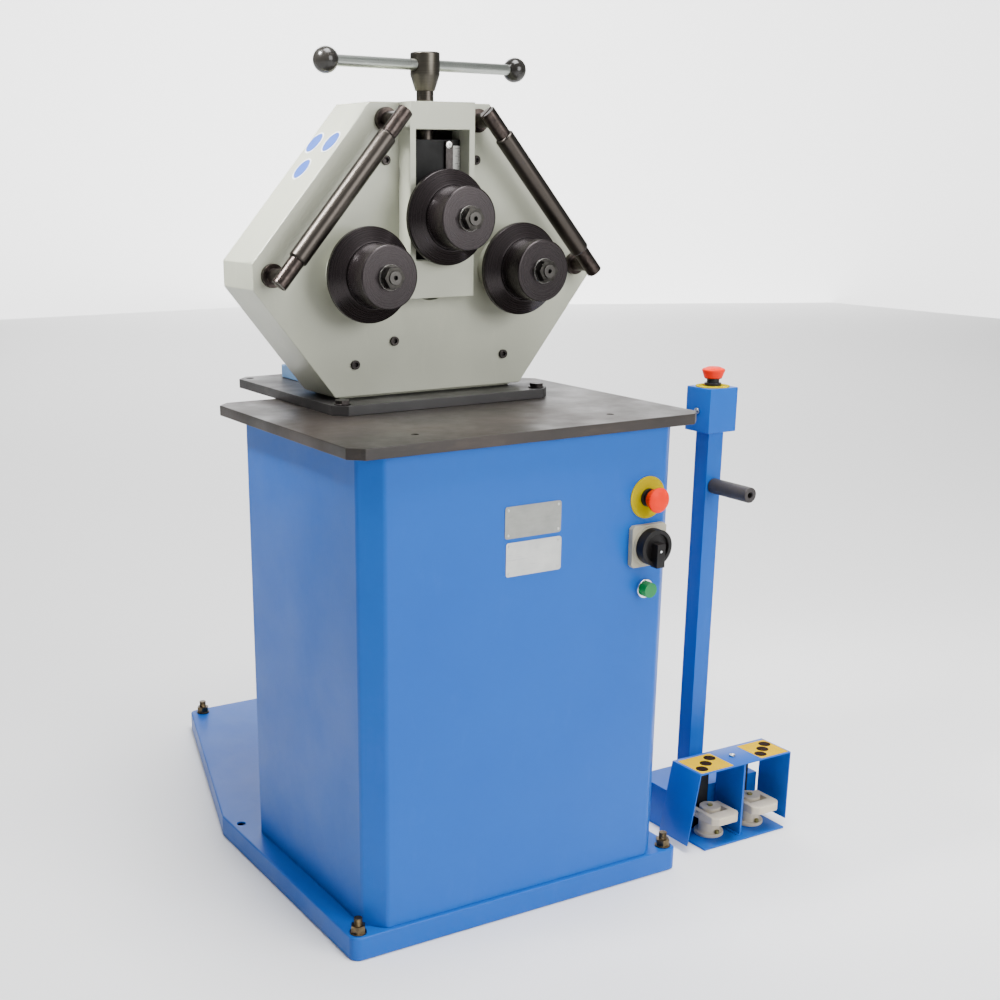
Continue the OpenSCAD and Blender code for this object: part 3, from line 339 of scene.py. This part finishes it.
blue_coat = powder_coat(
    "blue_coat", hue(8, 88, 178), hue(6, 82, 171), gloss=0.36, coat_weight=0.0, marks=0.1)
dress("base_pan", blue_coat, width=0.0024, segments=3)

# The anchor studs are threaded rods through the pan's corners, each with a washer and a hexagon
# nut, all zinc plated and passivated yellow. They hold the pan to the floor.
upward = (0.0, 0.0, 1.0)
thread_start = 0.0478
thread, thread_in, thread_out = effect(
    "thread",
    (("Axis", "Vector", upward), ("Turns", "Float", 3600.0), ("From", "Float", 0.0)),
    ("Height", "Mask"),
)
place = thread.nodes.new("ShaderNodeTexCoord").outputs["Object"]
along = step(thread, "VectorMath", "DOT_PRODUCT", place, thread_in.outputs["Axis"])["Value"]
scaled = step(thread, "Math", "MULTIPLY", along, thread_in.outputs["Turns"])["Value"]
ridge = step(thread, "Math", "SINE", scaled)["Value"]
past = step(thread, "Math", "GREATER_THAN", along, thread_in.outputs["From"])["Value"]
held = step(thread, "Math", "MULTIPLY", ridge, past)["Value"]
thread.links.new(held, thread_out.inputs["Height"])
thread.links.new(past, thread_out.inputs["Mask"])

gold_zinc = Finish("gold_zinc")
gold_zinc.colour(gold_zinc.mix(
    gold_zinc.use(mottle, Size=140.0, Low=0.0, High=1.0), hue(116, 100, 72), hue(54, 48, 40)))
gold_zinc.rough(gold_zinc.use(mottle, Size=90.0, Low=0.26, High=0.46))
gold_zinc.bump(
    gold_zinc.use(thread, Axis=upward, Turns=3600.0, From=thread_start), depth=0.0004)
gold_zinc.plain(Metallic=1.0)
dress("anchor_studs", gold_zinc.material, width=0.0004)

# The cabinet is a welded shell of 3 mm steel sheet with folded front corners, coated blue like the
# pan that it stands on. Two bare aluminium plates are riveted to its front.
cabinet_low, cabinet_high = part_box("cabinet_shell")
fold_depth = 0.032
near = 0.0005


def select_parts(piece, kind, where):
    """Goes into edit mode with only the points, edges or faces selected that pass the test."""
    pick(piece)
    bpy.ops.object.mode_set(mode="EDIT")
    bpy.ops.mesh.select_mode(type=kind)
    bpy.ops.mesh.select_all(action="DESELECT")
    bpy.ops.object.mode_set(mode="OBJECT")
    mesh = piece.data
    for part in {"VERT": mesh.vertices, "EDGE": mesh.edges, "FACE": mesh.polygons}[kind]:
        part.select = where(part)
    bpy.ops.object.mode_set(mode="EDIT")


def round_edges(piece, where, width, segments):
    """Bevels the edges whose two ends together pass the test."""
    def chosen(edge):
        a, b = (piece.data.vertices[i].co for i in edge.vertices)
        return where(a, b)

    select_parts(piece, "EDGE", chosen)
    bpy.ops.mesh.bevel(offset=width, segments=segments, affect="EDGES", clamp_overlap=False)
    bpy.ops.object.mode_set(mode="OBJECT")


def halve(piece):
    """Cuts the faces at the middle plane, so that no ring of sheet edge is left as one face."""
    pick(piece)
    bpy.ops.object.mode_set(mode="EDIT")
    bpy.ops.mesh.select_all(action="SELECT")
    bpy.ops.mesh.bisect(plane_co=(0.0, 0.0, 0.0), plane_no=(1.0, 0.0, 0.0))
    bpy.ops.mesh.mark_seam()
    bpy.ops.mesh.select_all(action="SELECT")
    bpy.ops.mesh.dissolve_limited(angle_limit=flat_angle, delimit={"SEAM"})
    bpy.ops.object.mode_set(mode="OBJECT")


def is_front_fold(a, b):
    """True for the outer edges of the folded front corners, which run the whole height."""
    whole = abs(a.z - b.z) > cabinet_high.z - cabinet_low.z - near
    outer = abs(a.x) > cabinet_high.x - near or a.y < cabinet_low.y + near
    return whole and outer and a.y < cabinet_low.y + fold_depth


cabinet = take("cabinet_shell")
halve(cabinet)
round_edges(cabinet, is_front_fold, width=0.004, segments=4)
ease(cabinet, width=0.0007)
stands_for(cabinet, "cabinet_shell", blue_coat)


def start_block(name, middle, size, turn=(0.0, 0.0, 0.0)):
    """A cube at its size and place, alone in the selection, to be shaped."""
    bpy.ops.object.select_all(action="DESELECT")
    bpy.ops.mesh.primitive_cube_add(size=1.0, location=middle, rotation=turn)
    piece = bpy.context.object
    piece.name = name
    piece.scale = size
    bpy.ops.object.transform_apply(location=True, rotation=True, scale=True)
    return piece


def start_round(name, middle, radius, length, turn=(0.0, 0.0, 0.0), sides=32):
    """A cylinder at its size and place, alone in the selection, to be shaped."""
    bpy.ops.object.select_all(action="DESELECT")
    bpy.ops.mesh.primitive_cylinder_add(
        vertices=sides, radius=radius, depth=length, location=middle, rotation=turn)
    piece = bpy.context.object
    piece.name = name
    bpy.ops.object.transform_apply(location=True, rotation=True, scale=True)
    return piece


def copy_of(piece, name, shift):
    """A copy with its own mesh, moved to its place."""
    twin = bpy.data.objects.new(name, piece.data.copy())
    bpy.context.scene.collection.objects.link(twin)
    pick(twin)
    twin.location = shift
    bpy.ops.object.transform_apply(location=True, rotation=False, scale=False)
    return twin


def join(first, *others):
    pick(first)
    for other in others:
        other.select_set(True)
    bpy.ops.object.join()


def belongs(piece, body):
    """A new piece rides on a body."""
    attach(piece, body)


def brushed(name, light, dark, gloss):
    """Brushed metal: fine lines across it and cloudy gloss."""
    finish = Finish(name)
    lines = finish.use(scuff, Stretch=(40.0, 900.0, 900.0), Amount=1.0)
    cloudy = finish.use(mottle, Size=30.0, Low=0.0, High=0.6)
    finish.colour(finish.mix(cloudy, finish.mix(lines, light, dark), dark))
    finish.rough(finish.use(mottle, Size=60.0, Low=gloss - 0.05, High=gloss + 0.1))
    finish.bump(lines, depth=0.00005, strength=0.6)
    finish.plain(Metallic=1.0)
    return finish.material


facing_front = (math.pi / 2, 0.0, 0.0)
plate_t = 0.0012
rivet_len = 0.0012
rivet_inset = 0.005
sunk = 0.0002
plate_y = cabinet_low.y + sunk - plate_t / 2
rivet_y = cabinet_low.y + sunk - plate_t + sunk - rivet_len / 2
plate_grey = brushed("plate_grey", hue(150, 151, 146), hue(128, 130, 127), gloss=0.42)
plate_metal = brushed("plate_metal", hue(196, 197, 193), hue(166, 168, 168), gloss=0.36)
rivet = start_round(
    "rivet", (0.0, rivet_y, 0.0), radius=0.0019, length=rivet_len, turn=facing_front, sides=20)
ease(rivet, width=0.0006, segments=3)
rivet.data.materials.append(plate_metal)
for name, x, z, width, height, face in (
    ("upper_blank_plate", 0.001, 0.5855, 0.091, 0.044, plate_grey),
    ("lower_blank_plate", 0.003, 0.5345, 0.090, 0.047, plate_metal),
):
    plate = start_block(name, (x, plate_y, z), (width, plate_t, height))
    round_edges(plate, lambda a, b: abs(a.y - b.y) > plate_t / 2, width=0.004, segments=5)
    ease(plate, width=0.0003)
    plate.data.materials.append(face)
    reach_x = width / 2 - rivet_inset
    reach_z = height / 2 - rivet_inset
    join(plate, *(
        copy_of(rivet, name + "_rivet", (x + side * reach_x, 0.0, z + end * reach_z))
        for side in (-1, 1) for end in (-1, 1)))
    belongs(plate, "stand")
bpy.data.objects.remove(rivet)

# The rear panel closes the cabinet's opening. It is a thin sheet in the same blue coat, held by six
# pan-head screws; two more of these hold the console's box and the pedal hood.
panel_screw_x = 0.219
panel_screw_rows = (0.068, 0.364, 0.66)
slot_lift = 0.0001
panel_slot_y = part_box("cover_screws")[1].y + slot_lift
box_slot = (0.4121, 0.162, 0.676)
hood_slot = (0.4425, 0.062, 0.1329)
slot_len = 0.006
slot_w = 0.0011
slot_depth = 0.0024


def carve(piece, cutter):
    """Cuts one closed mesh out of another and throws the cutter away."""
    pick(piece)
    cut = piece.modifiers.new("carved", "BOOLEAN")
    cut.operation = "DIFFERENCE"
    cut.solver = "EXACT"
    cut.object = cutter
    bpy.ops.object.modifier_apply(modifier=cut.name)
    bpy.data.objects.remove(cutter)


def plated(name, light, dark, gloss):
    """Plated steel: a fine cloudy grain in tone and gloss."""
    finish = Finish(name)
    finish.colour(finish.mix(finish.use(mottle, Size=180.0, Low=0.0, High=1.0), light, dark))
    finish.rough(finish.use(mottle, Size=120.0, Low=gloss - 0.06, High=gloss + 0.12))
    finish.bump(finish.use(mottle, Size=900.0, Low=0.0, High=1.0), depth=0.00004, strength=0.4)
    finish.plain(Metallic=1.0)
    return finish.material


dress("rear_panel", blue_coat, width=0.0005)
bright_zinc = plated("bright_zinc", hue(214, 214, 210), hue(158, 158, 154), gloss=0.26)
screws = take("cover_screws")
ease(screws, width=0.0009, segments=3)
cross = ((slot_len, slot_w), (slot_w, slot_len))
for x in (-panel_screw_x, panel_screw_x):
    for z in panel_screw_rows:
        for wide, high in cross:
            carve(screws, start_block("slot", (x, panel_slot_y, z), (wide, slot_depth, high)))
for wide, high in cross:
    carve(screws, start_block("slot", box_slot, (slot_depth, wide, high)))
    carve(screws, start_block("slot", hood_slot, (wide, high, slot_depth)))
bpy.ops.object.shade_smooth_by_angle(angle=smooth_angle)
stands_for(screws, "cover_screws", bright_zinc)


# The cable glands are moulded black nuts on threaded bodies, one in the rear panel and one in the
# console's base box. Nothing runs through them.
def moulded(name, light, dark, gloss, grain=600.0, coat_weight=0.0, shine=0.3):
    """Moulded plastic: almost even in tone, with a fine grain in the gloss."""
    finish = Finish(name)
    finish.colour(finish.mix(finish.use(mottle, Size=26.0, Low=0.0, High=1.0), light, dark))
    finish.rough(finish.use(mottle, Size=45.0, Low=gloss - 0.05, High=gloss + 0.08))
    finish.bump(finish.use(mottle, Size=grain, Low=0.0, High=1.0), depth=0.00005, strength=0.4)
    finish.plain(Coat_Weight=coat_weight, Coat_Roughness=0.12, Specular_IOR_Level=shine)
    return finish.material


black_moulding = moulded("black_moulding", hue(30, 30, 32), hue(20, 20, 22), gloss=0.4)
dress("cable_glands", black_moulding, width=0.0006)


# The table is a thick steel plate with clipped corners, blackened and oiled, so that it shows
# smears, rubbed patches and scratches. The head plate on it is a second one, held by a bolt at
# each front corner.
def oiled_plate(name, light, dark, rub, gloss):
    """Blackened plate: dark clouds, rubbed lighter patches and long scratches."""
    finish = Finish(name)
    clouds = finish.mix(finish.use(mottle, Size=6.0, Low=0.0, High=1.0), light, dark)
    rubbed = finish.mix(finish.use(scuff, Stretch=(5.0, 26.0, 26.0), Amount=0.55), clouds, rub)
    scratches = finish.use(scuff, Stretch=(20.0, 700.0, 300.0), Amount=0.35)
    finish.colour(finish.mix(scratches, rubbed, rub))
    finish.rough(finish.use(mottle, Size=11.0, Low=gloss - 0.1, High=gloss + 0.16))
    finish.bump(finish.use(mottle, Size=500.0, Low=0.0, High=1.0), depth=0.00008, strength=0.4)
    finish.plain(Metallic=0.35)
    return finish.material


table_steel = oiled_plate(
    "table_steel", hue(54, 47, 43), hue(39, 36, 34), rub=hue(72, 62, 55), gloss=0.38)
dress("table_plate", table_steel, width=0.0011)
head_plate_steel = oiled_plate(
    "head_plate_steel", hue(50, 48, 48), hue(38, 37, 37), rub=hue(68, 64, 62), gloss=0.42)
dress("head_plate", head_plate_steel, width=0.001)
black_bolt = plated("black_bolt", hue(64, 60, 58), hue(34, 32, 32), gloss=0.38)
dress("head_plate_bolts", black_bolt, width=0.0004)

# The head is a deep welded box of plate, ground smooth and painted a light greenish grey. It stands
# on a foot block on the head plate, and a plate closes its back.
grey_coat = powder_coat(
    "grey_coat", hue(178, 180, 163), hue(163, 165, 149), gloss=0.4, coat_weight=0.3, marks=0.2)
dress("head_housing", grey_coat, width=0.0014, segments=3, slide=False)
dress("head_back_plate", grey_coat, width=0.0006)
dress("bearing_housings", grey_coat, width=0.0012)
dress("face_screws", black_bolt, width=0.0005)

# Three plain round discs of thin printed film, blue with a white edge, are stuck on the head's left
# upper slope.
slope_run = 0.181
slope_rise = 0.2065
slope_turn = (0.0, math.atan2(-slope_rise, slope_run), 0.0)
outward = Vector((-slope_rise, 0.0, slope_run)).normalized()
back_spot = Vector((-0.1417, 0.3495, 1.0686))
front_spot = Vector((-0.1415, 0.2997, 1.0688))
low_spot = Vector((-0.1719, 0.3294, 1.0341))
disc_film = moulded(
    "disc_film", hue(58, 92, 172), hue(52, 84, 162), gloss=0.34, grain=900.0, coat_weight=0.2)
disc_edge = moulded(
    "disc_edge", hue(226, 228, 228), hue(214, 216, 216), gloss=0.34, grain=900.0, coat_weight=0.3)
disc = start_round(
    "slope_disc_back", back_spot, radius=0.0182, length=0.0006, turn=slope_turn, sides=56)
select_parts(disc, "FACE", lambda face: face.normal.dot(outward) > 0.9)
bpy.ops.mesh.inset(thickness=0.0022)
bpy.ops.object.mode_set(mode="OBJECT")
disc.data.materials.append(disc_edge)
disc.data.materials.append(disc_film)
for face in disc.data.polygons:
    face.material_index = 1 if face.select else 0
for film in (
    disc,
    copy_of(disc, "slope_disc_front", front_spot - back_spot),
    copy_of(disc, "slope_disc_low", low_spot - back_spot),
):
    belongs(film, "stand")

# The slide channel is a milled guide screwed to the head's face, in the head's grey. The black
# slide runs in it and carries the top roll; a keeper bar and a white scale are fixed to its front.
dress("slide_channel", grey_coat, width=0.0009)
slide_black = moulded("slide_black", hue(10, 10, 10), hue(7, 7, 7), gloss=0.6, grain=700.0)
dress("slide_block", slide_black, width=0.0008)

keeper_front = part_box("slide_keeper")[0].y
shaved = 0.0002
screw_x = 0.0225
screw_z = 1.065
screw_sunk = 0.0019
recess_sunk = 0.0006
keeper = take("slide_keeper")
select_parts(keeper, "VERT", lambda point: point.co.y < keeper_front + shaved / 2)
bpy.ops.transform.translate(value=(0.0, shaved, 0.0))
bpy.ops.object.mode_set(mode="OBJECT")
ease(keeper, width=0.0006)
carve(keeper, start_round(
    "pocket", (screw_x, keeper_front, screw_z),
    radius=0.0056, length=0.006, turn=facing_front, sides=36))
keeper_steel = plated("keeper_steel", hue(76, 72, 71), hue(56, 53, 52), gloss=0.44)
stands_for(keeper, "slide_keeper", keeper_steel)
screw = start_round(
    "keeper_screw", (screw_x, keeper_front + screw_sunk, screw_z),
    radius=0.0053, length=0.0032, turn=facing_front, sides=36)
ease(screw, width=0.0009, segments=3)
carve(screw, start_round(
    "recess", (screw_x, keeper_front + recess_sunk, screw_z),
    radius=0.0022, length=0.003, turn=facing_front, sides=6))
screw.data.materials.append(bright_zinc)
belongs(screw, "slide")

# Ticks: thin lines up the scale at an even step, each from a given edge to the right.
ticks, ticks_in, ticks_out = effect(
    "ticks", (("Step", "Float", 0.002), ("Line", "Float", 0.25), ("Edge", "Float", 0.0)), ("Mask",))
split = ticks.nodes.new("ShaderNodeSeparateXYZ")
ticks.links.new(ticks.nodes.new("ShaderNodeTexCoord").outputs["Object"], split.inputs[0])
steps = step(ticks, "Math", "DIVIDE", split.outputs["Z"], ticks_in.outputs["Step"])["Value"]
share = step(ticks, "Math", "FRACT", steps)["Value"]
thin = step(ticks, "Math", "LESS_THAN", share, ticks_in.outputs["Line"])["Value"]
beyond = step(ticks, "Math", "GREATER_THAN", split.outputs["X"], ticks_in.outputs["Edge"])["Value"]
both = step(ticks, "Math", "MULTIPLY", thin, beyond)["Value"]
ticks.links.new(both, ticks_out.inputs["Mask"])

scale_film = Finish("scale_film")
paper = scale_film.mix(
    scale_film.use(mottle, Size=80.0, Low=0.0, High=1.0), hue(230, 230, 226), hue(204, 204, 198))
short = scale_film.use(ticks, Step=0.002, Line=0.2, Edge=0.0385)
long = scale_film.use(ticks, Step=0.01, Line=0.05, Edge=0.0345)
marks = scale_film.sum(short, long, "MAXIMUM")
scale_film.colour(scale_film.mix(marks, paper, hue(96, 96, 98)))
scale_film.rough(scale_film.use(mottle, Size=70.0, Low=0.35, High=0.5))
dress("scale_strip", scale_film.material, width=0.0002)

# The three roll shafts are turned and ground steel. The two lower ones turn in the bearings and
# carry the gears inside the head; the pinion of the reducer drives both.
joints = {joint["name"]: joint for joint in frame["record"]["behaviour"]["joints"]}
to_back = (0.0, 1.0, 0.0)
turned, turned_in, turned_out = effect(
    "turned",
    (("Point", "Vector", (0.0, 0.0, 0.0)), ("Axis", "Vector", to_back), ("Grain", "Float", 900.0)),
    ("Rings",),
)
place = turned.nodes.new("ShaderNodeTexCoord").outputs["Object"]
axis = turned_in.outputs["Axis"]
offset = step(turned, "VectorMath", "SUBTRACT", place, turned_in.outputs["Point"])["Vector"]
along = step(turned, "VectorMath", "DOT_PRODUCT", offset, axis)["Value"]
axial = step(turned, "VectorMath", "MULTIPLY", axis, along)["Vector"]
across = step(turned, "VectorMath", "SUBTRACT", offset, axial)["Vector"]
radius = step(turned, "VectorMath", "LENGTH", across)["Value"]
track = step(turned, "Math", "ADD", radius, along)["Value"]
fine = step(turned, "Math", "MULTIPLY", track, turned_in.outputs["Grain"])["Value"]
cuts, spread = noise(turned, detail=4.0, roughness=0.65, low=0.3, high=0.7)
cuts.noise_dimensions = "1D"
turned.links.new(fine, cuts.inputs["W"])
turned.links.new(spread.outputs["Result"], turned_out.inputs["Rings"])


def turned_steel(name, point, axis, light, dark, gloss, grain, metal=1.0, depth=0.3):
    """Lathe work: fine rings about an axis and handled patches."""
    finish = Finish(name)
    rings = finish.use(turned, Point=point, Axis=axis, Grain=grain)
    tone = finish.mix(rings, dark, light)
    tone = finish.mix(finish.use(mottle, Size=38.0, Low=0.0, High=0.55), tone, dark)
    finish.colour(tone)
    finish.rough(finish.sum(finish.sum(rings, 0.1, "MULTIPLY"), gloss))
    finish.bump(rings, depth=0.00004, strength=depth)
    finish.plain(Metallic=metal)
    return finish.material


for side in ("left", "right", "top"):
    shaft_steel = turned_steel(
        side + "_shaft_steel", joints[side + "_roll_spin"]["pos_m"], to_back,
        hue(86, 84, 81), hue(60, 58, 56), gloss=0.3, grain=1400.0)
    dress(side + "_shaft", shaft_steel, width=0.0006)
gear_steel = plated("gear_steel", hue(132, 130, 126), hue(92, 90, 88), gloss=0.36)
for node in ("left_gear", "right_gear", "drive_pinion"):
    coat(node, gear_steel)

# The rolls are turned from tool steel and oxidised brown-black: a broad flange behind and a boss in
# front, with the fine rings of the lathe. A zinc washer and a dark hexagon nut hold each one.
nut_back = 0.1661
for side in ("left", "right", "top"):
    roll_steel = turned_steel(
        side + "_roll_steel", joints[side + "_roll_spin"]["pos_m"], to_back,
        hue(46, 40, 41), hue(39, 34, 35), gloss=0.22, grain=900.0, metal=0.65, depth=0.16)
    dress(side + "_roll", roll_steel, width=0.0012, segments=3)
    nuts = Finish(side + "_nut_finish")
    grain = nuts.use(mottle, Size=160.0, Low=0.0, High=1.0)
    washer = nuts.group(thread, Axis=to_back, Turns=0.0, From=nut_back).outputs["Mask"]
    nuts.colour(nuts.mix(
        washer, nuts.mix(grain, hue(62, 60, 57), hue(38, 37, 35)),
        nuts.mix(grain, hue(206, 206, 200), hue(146, 144, 138))))
    nuts.rough(nuts.use(mottle, Size=90.0, Low=0.24, High=0.42))
    nuts.plain(Metallic=1.0)
    dress(side + "_fasteners", nuts.material, width=0.0005)

# The lead screw turns in a bronze bush in the head's top. Its hub, bored for the bar, is turned and
# oxidised like the rolls; the bar is bright drawn steel and ends in two glossy black balls.
screw_point = joints["handle_spin"]["pos_m"]
hub_point = (0.0, 0.288, 1.16)
bar_point = (0.0, 0.288, 1.1695)
bar_turn = math.radians(10.4)
bar_axis = (math.cos(bar_turn), math.sin(bar_turn), 0.0)
screw_steel = turned_steel(
    "screw_steel", screw_point, upward, hue(92, 86, 80), hue(62, 58, 54), gloss=0.34, grain=1600.0)
coat("lead_screw", screw_steel)
coat("screw_bush", plated("bush_bronze", hue(176, 142, 92), hue(134, 104, 66), gloss=0.3))
hub_steel = turned_steel(
    "hub_steel", hub_point, upward, hue(96, 92, 84), hue(66, 63, 57), gloss=0.3, grain=1200.0)
dress("handle_hub", hub_steel, width=0.0008)
bar_steel = turned_steel(
    "bar_steel", bar_point, bar_axis, hue(186, 191, 185), hue(150, 154, 149),
    gloss=0.26, grain=2500.0)
dress("handle_bar", bar_steel, width=0.0005)
ball_gloss = moulded(
    "ball_gloss", hue(40, 38, 35), hue(30, 28, 26), gloss=0.24, grain=200.0, coat_weight=0.2)
dress("ball_knobs", ball_gloss, width=0.0004)

# The guides stand in front of the head on short posts: dark rods with slotted ends, and between the
# ends a loose sleeve that turns as the section slides along it.
for side in ("left", "right"):
    spin = joints[side + "_sleeve_spin"]
    sleeve_steel = turned_steel(
        side + "_sleeve_steel", spin["pos_m"], spin["axis"], hue(74, 69, 65), hue(60, 56, 52),
        gloss=0.3, grain=1500.0)
    dress(side + "_sleeve", sleeve_steel, width=0.0008)
guide_steel = plated("guide_steel", hue(74, 66, 62), hue(48, 43, 41), gloss=0.32)
dress("guide_rods", guide_steel, width=0.0008)
dress("guide_posts", guide_steel, width=0.0007)

# The reducer bolts to the head's back and carries the motor: iron castings in a blue-grey paint,
# the motor with cooling fins and a terminal box, and a pressed black cover over its fan.
drive_paint = powder_coat(
    "drive_paint", hue(96, 128, 164), hue(84, 114, 150), gloss=0.42, coat_weight=0.15, marks=0.25)
dress("gear_reducer", drive_paint, width=0.002, segments=3)
dress("drive_motor", drive_paint, width=0.0007)
fan_paint = powder_coat(
    "fan_paint", hue(36, 36, 38), hue(28, 28, 30), gloss=0.4, coat_weight=0.1, marks=0.2)
dress("fan_cover", fan_paint, width=0.001)

# The front controls sit in holes in the cabinet: a red mushroom button on a yellow ring, a rotary
# switch with a black handle on a pale plate, and a green lamp in a chromed bezel.
front_head_back = -0.0135
console_head_low = 0.7275
ring_film = moulded("ring_film", hue(178, 160, 0), hue(168, 150, 0), gloss=0.5, shine=0.0)
dress("stop_rings", ring_film, width=0.0003)
dress("stop_collars", black_moulding, width=0.0006)
stop_red = moulded(
    "stop_red", hue(238, 38, 0), hue(228, 33, 0), gloss=0.36, grain=500.0, shine=0.08)
for node, is_stem in (
    ("front_stop_button", lambda at: at.y > front_head_back),
    ("console_stop_button", lambda at: at.z < console_head_low),
):
    button = dress(node, stop_red, width=0.0012, segments=3)
    button.data.materials.append(black_moulding)
    for face in button.data.polygons:
        face.material_index = 1 if is_stem(face.center) else 0

knob_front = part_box("switch_knob")[0].y
dot_drop = 0.0035
dot_sunk = 0.0004
dot_x = joints["switch_turn"]["pos_m"][0]
dot_z = joints["switch_turn"]["pos_m"][2] - dot_drop
pale_plate = moulded("pale_plate", hue(170, 166, 147), hue(158, 154, 136), gloss=0.45)
dress("switch_plate", pale_plate, width=0.0008, segments=3)
knob_black = moulded(
    "knob_black", hue(26, 24, 24), hue(19, 18, 18), gloss=0.4, grain=500.0, shine=0.2)
knob = dress("switch_knob", knob_black, width=0.0005, segments=3)
carve(knob, start_round(
    "pocket", (dot_x, knob_front, dot_z),
    radius=0.0019, length=0.0012, turn=facing_front, sides=24))
pointer_dot = start_round(
    "pointer_dot", (dot_x, knob_front + dot_sunk, dot_z),
    radius=0.0017, length=0.0006, turn=facing_front, sides=24)
ease(pointer_dot, width=0.0002)
pointer_dot.data.materials.append(disc_edge)
belongs(pointer_dot, "switch")

chrome = plated("chrome", hue(232, 234, 236), hue(204, 207, 210), gloss=0.1)
dress("lamp_bezel", chrome, width=0.001, segments=3)
green_glass = Finish("green_glass")
green_glass.colour(green_glass.mix(
    green_glass.use(mottle, Size=26.0, Low=0.0, High=1.0), hue(0, 112, 56), hue(0, 98, 46)))
green_glass.rough(green_glass.use(mottle, Size=45.0, Low=0.06, High=0.12))
green_glass.plain(Emission_Color=hue(0, 150, 76), Emission_Strength=0.3, Specular_IOR_Level=0.35)
dress("lamp_lens", green_glass.material, width=0.0008, segments=3)

# The console stands free: a folded base box, a square tube welded to it and a small switch box on
# top, all coated blue, with a round rubber grip on the tube.
for node in ("console_base", "console_column", "console_box"):
    dress(node, blue_coat, width=0.0012)
grip_rubber = moulded("grip_rubber", hue(62, 58, 57), hue(48, 45, 45), gloss=0.5, grain=260.0)
dress("console_grip", grip_rubber, width=0.0018, segments=3)

# The pedal hood is folded from thin sheet over both pedals, with a divider between them and a floor
# plate below. Two thin yellow labels with plain dark spots are stuck on its top.
inner_fold_x = 0.3495


def is_off_fold(a, b):
    """True for the edges of the hood that don't lie in the inner fold of its left side."""
    return max(abs(a.x - inner_fold_x), abs(b.x - inner_fold_x)) > near


hood = take("pedal_hood")
round_edges(hood, is_off_fold, width=0.0006, segments=2)
bpy.ops.object.shade_smooth_by_angle(angle=smooth_angle)
stands_for(hood, "pedal_hood", blue_coat)
for node in ("pedal_divider", "pedal_floor"):
    dress(node, blue_coat, width=0.0006)

hood_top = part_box("pedal_hood")[1].z
label_y = 0.060
label_len = 0.058
label_t = 0.0003
label_lift = 0.00008
spot_lift = 0.00028
label_z = hood_top + label_lift
spot_z = hood_top + spot_lift
spot_step = 0.014
spot_share = 0.3
label_film = moulded("label_film", hue(216, 174, 0), hue(208, 166, 0), gloss=0.6, shine=0.0)
spot_ink = moulded("spot_ink", hue(34, 18, 13), hue(27, 14, 10), gloss=0.5, shine=0.02)
spot = start_round("spot", (0.0, label_y, spot_z), radius=0.0098, length=0.0002, sides=36)
ease(spot, width=0.00005)
spot.data.materials.append(spot_ink)
for name, x, width in (("left_label", 0.3855, 0.066), ("right_label", 0.5055, 0.058)):
    label = start_block(name, (x, label_y, label_z), (width, label_len, label_t))
    round_edges(label, lambda a, b: abs(a.z - b.z) > label_t / 2, width=0.002, segments=3)
    label.data.materials.append(label_film)
    join(label, *(
        copy_of(spot, name + "_spot", (x + row * width * spot_share, row * spot_step, 0.0))
        for row in (-1, 0, 1)))
    belongs(label, "stand")
bpy.data.objects.remove(spot)

# The pedals are cast tongues, painted cream, forked round a standing body and hinged on its pin.
# A screw caps each body, a small bolt holds its flange, and a black switch stands behind it.
cream_cast = moulded("cream_cast", hue(198, 188, 168), hue(180, 170, 151), gloss=0.5, grain=380.0)
dress("pedal_bases", cream_cast, width=0.0012, segments=3)
dress("left_pedal", cream_cast, width=0.0025, segments=4)
dress("right_pedal", cream_cast, width=0.0025, segments=4)
dress("pedal_switches", black_moulding, width=0.0012)

left_pin = Vector(joints["left_pedal_press"]["pos_m"])
right_pin = Vector(joints["right_pedal_press"]["pos_m"])
cap_lift = 0.0103
cap_slot_lift = 0.0118
cap_slot_size = (0.007, 0.0012, 0.002)
cap_slot_turn = 0.6
bolt_ahead = 0.0202
bolt_drop = 0.0302
cap_middle = left_pin + Vector((0.0, 0.0, cap_lift))
cap_slot = left_pin + Vector((0.0, 0.0, cap_slot_lift))
bolt_middle = left_pin - Vector((0.0, bolt_ahead, bolt_drop))
pedal_zinc = plated("pedal_zinc", hue(150, 146, 92), hue(96, 92, 56), gloss=0.28)
cap = start_round("left_pedal_screws", cap_middle, radius=0.0046, length=0.003, sides=28)
ease(cap, width=0.001, segments=3)
carve(cap, start_block("slot", cap_slot, cap_slot_size, turn=(0.0, 0.0, cap_slot_turn)))
cap.data.materials.append(pedal_zinc)
bolt = start_round("left_bolt", bolt_middle, radius=0.0036, length=0.006, sides=6)
ease(bolt, width=0.0006)
bolt.data.materials.append(pedal_zinc)
join(cap, bolt)
for screw in (cap, copy_of(cap, "right_pedal_screws", right_pin - left_pin)):
    belongs(screw, "stand")
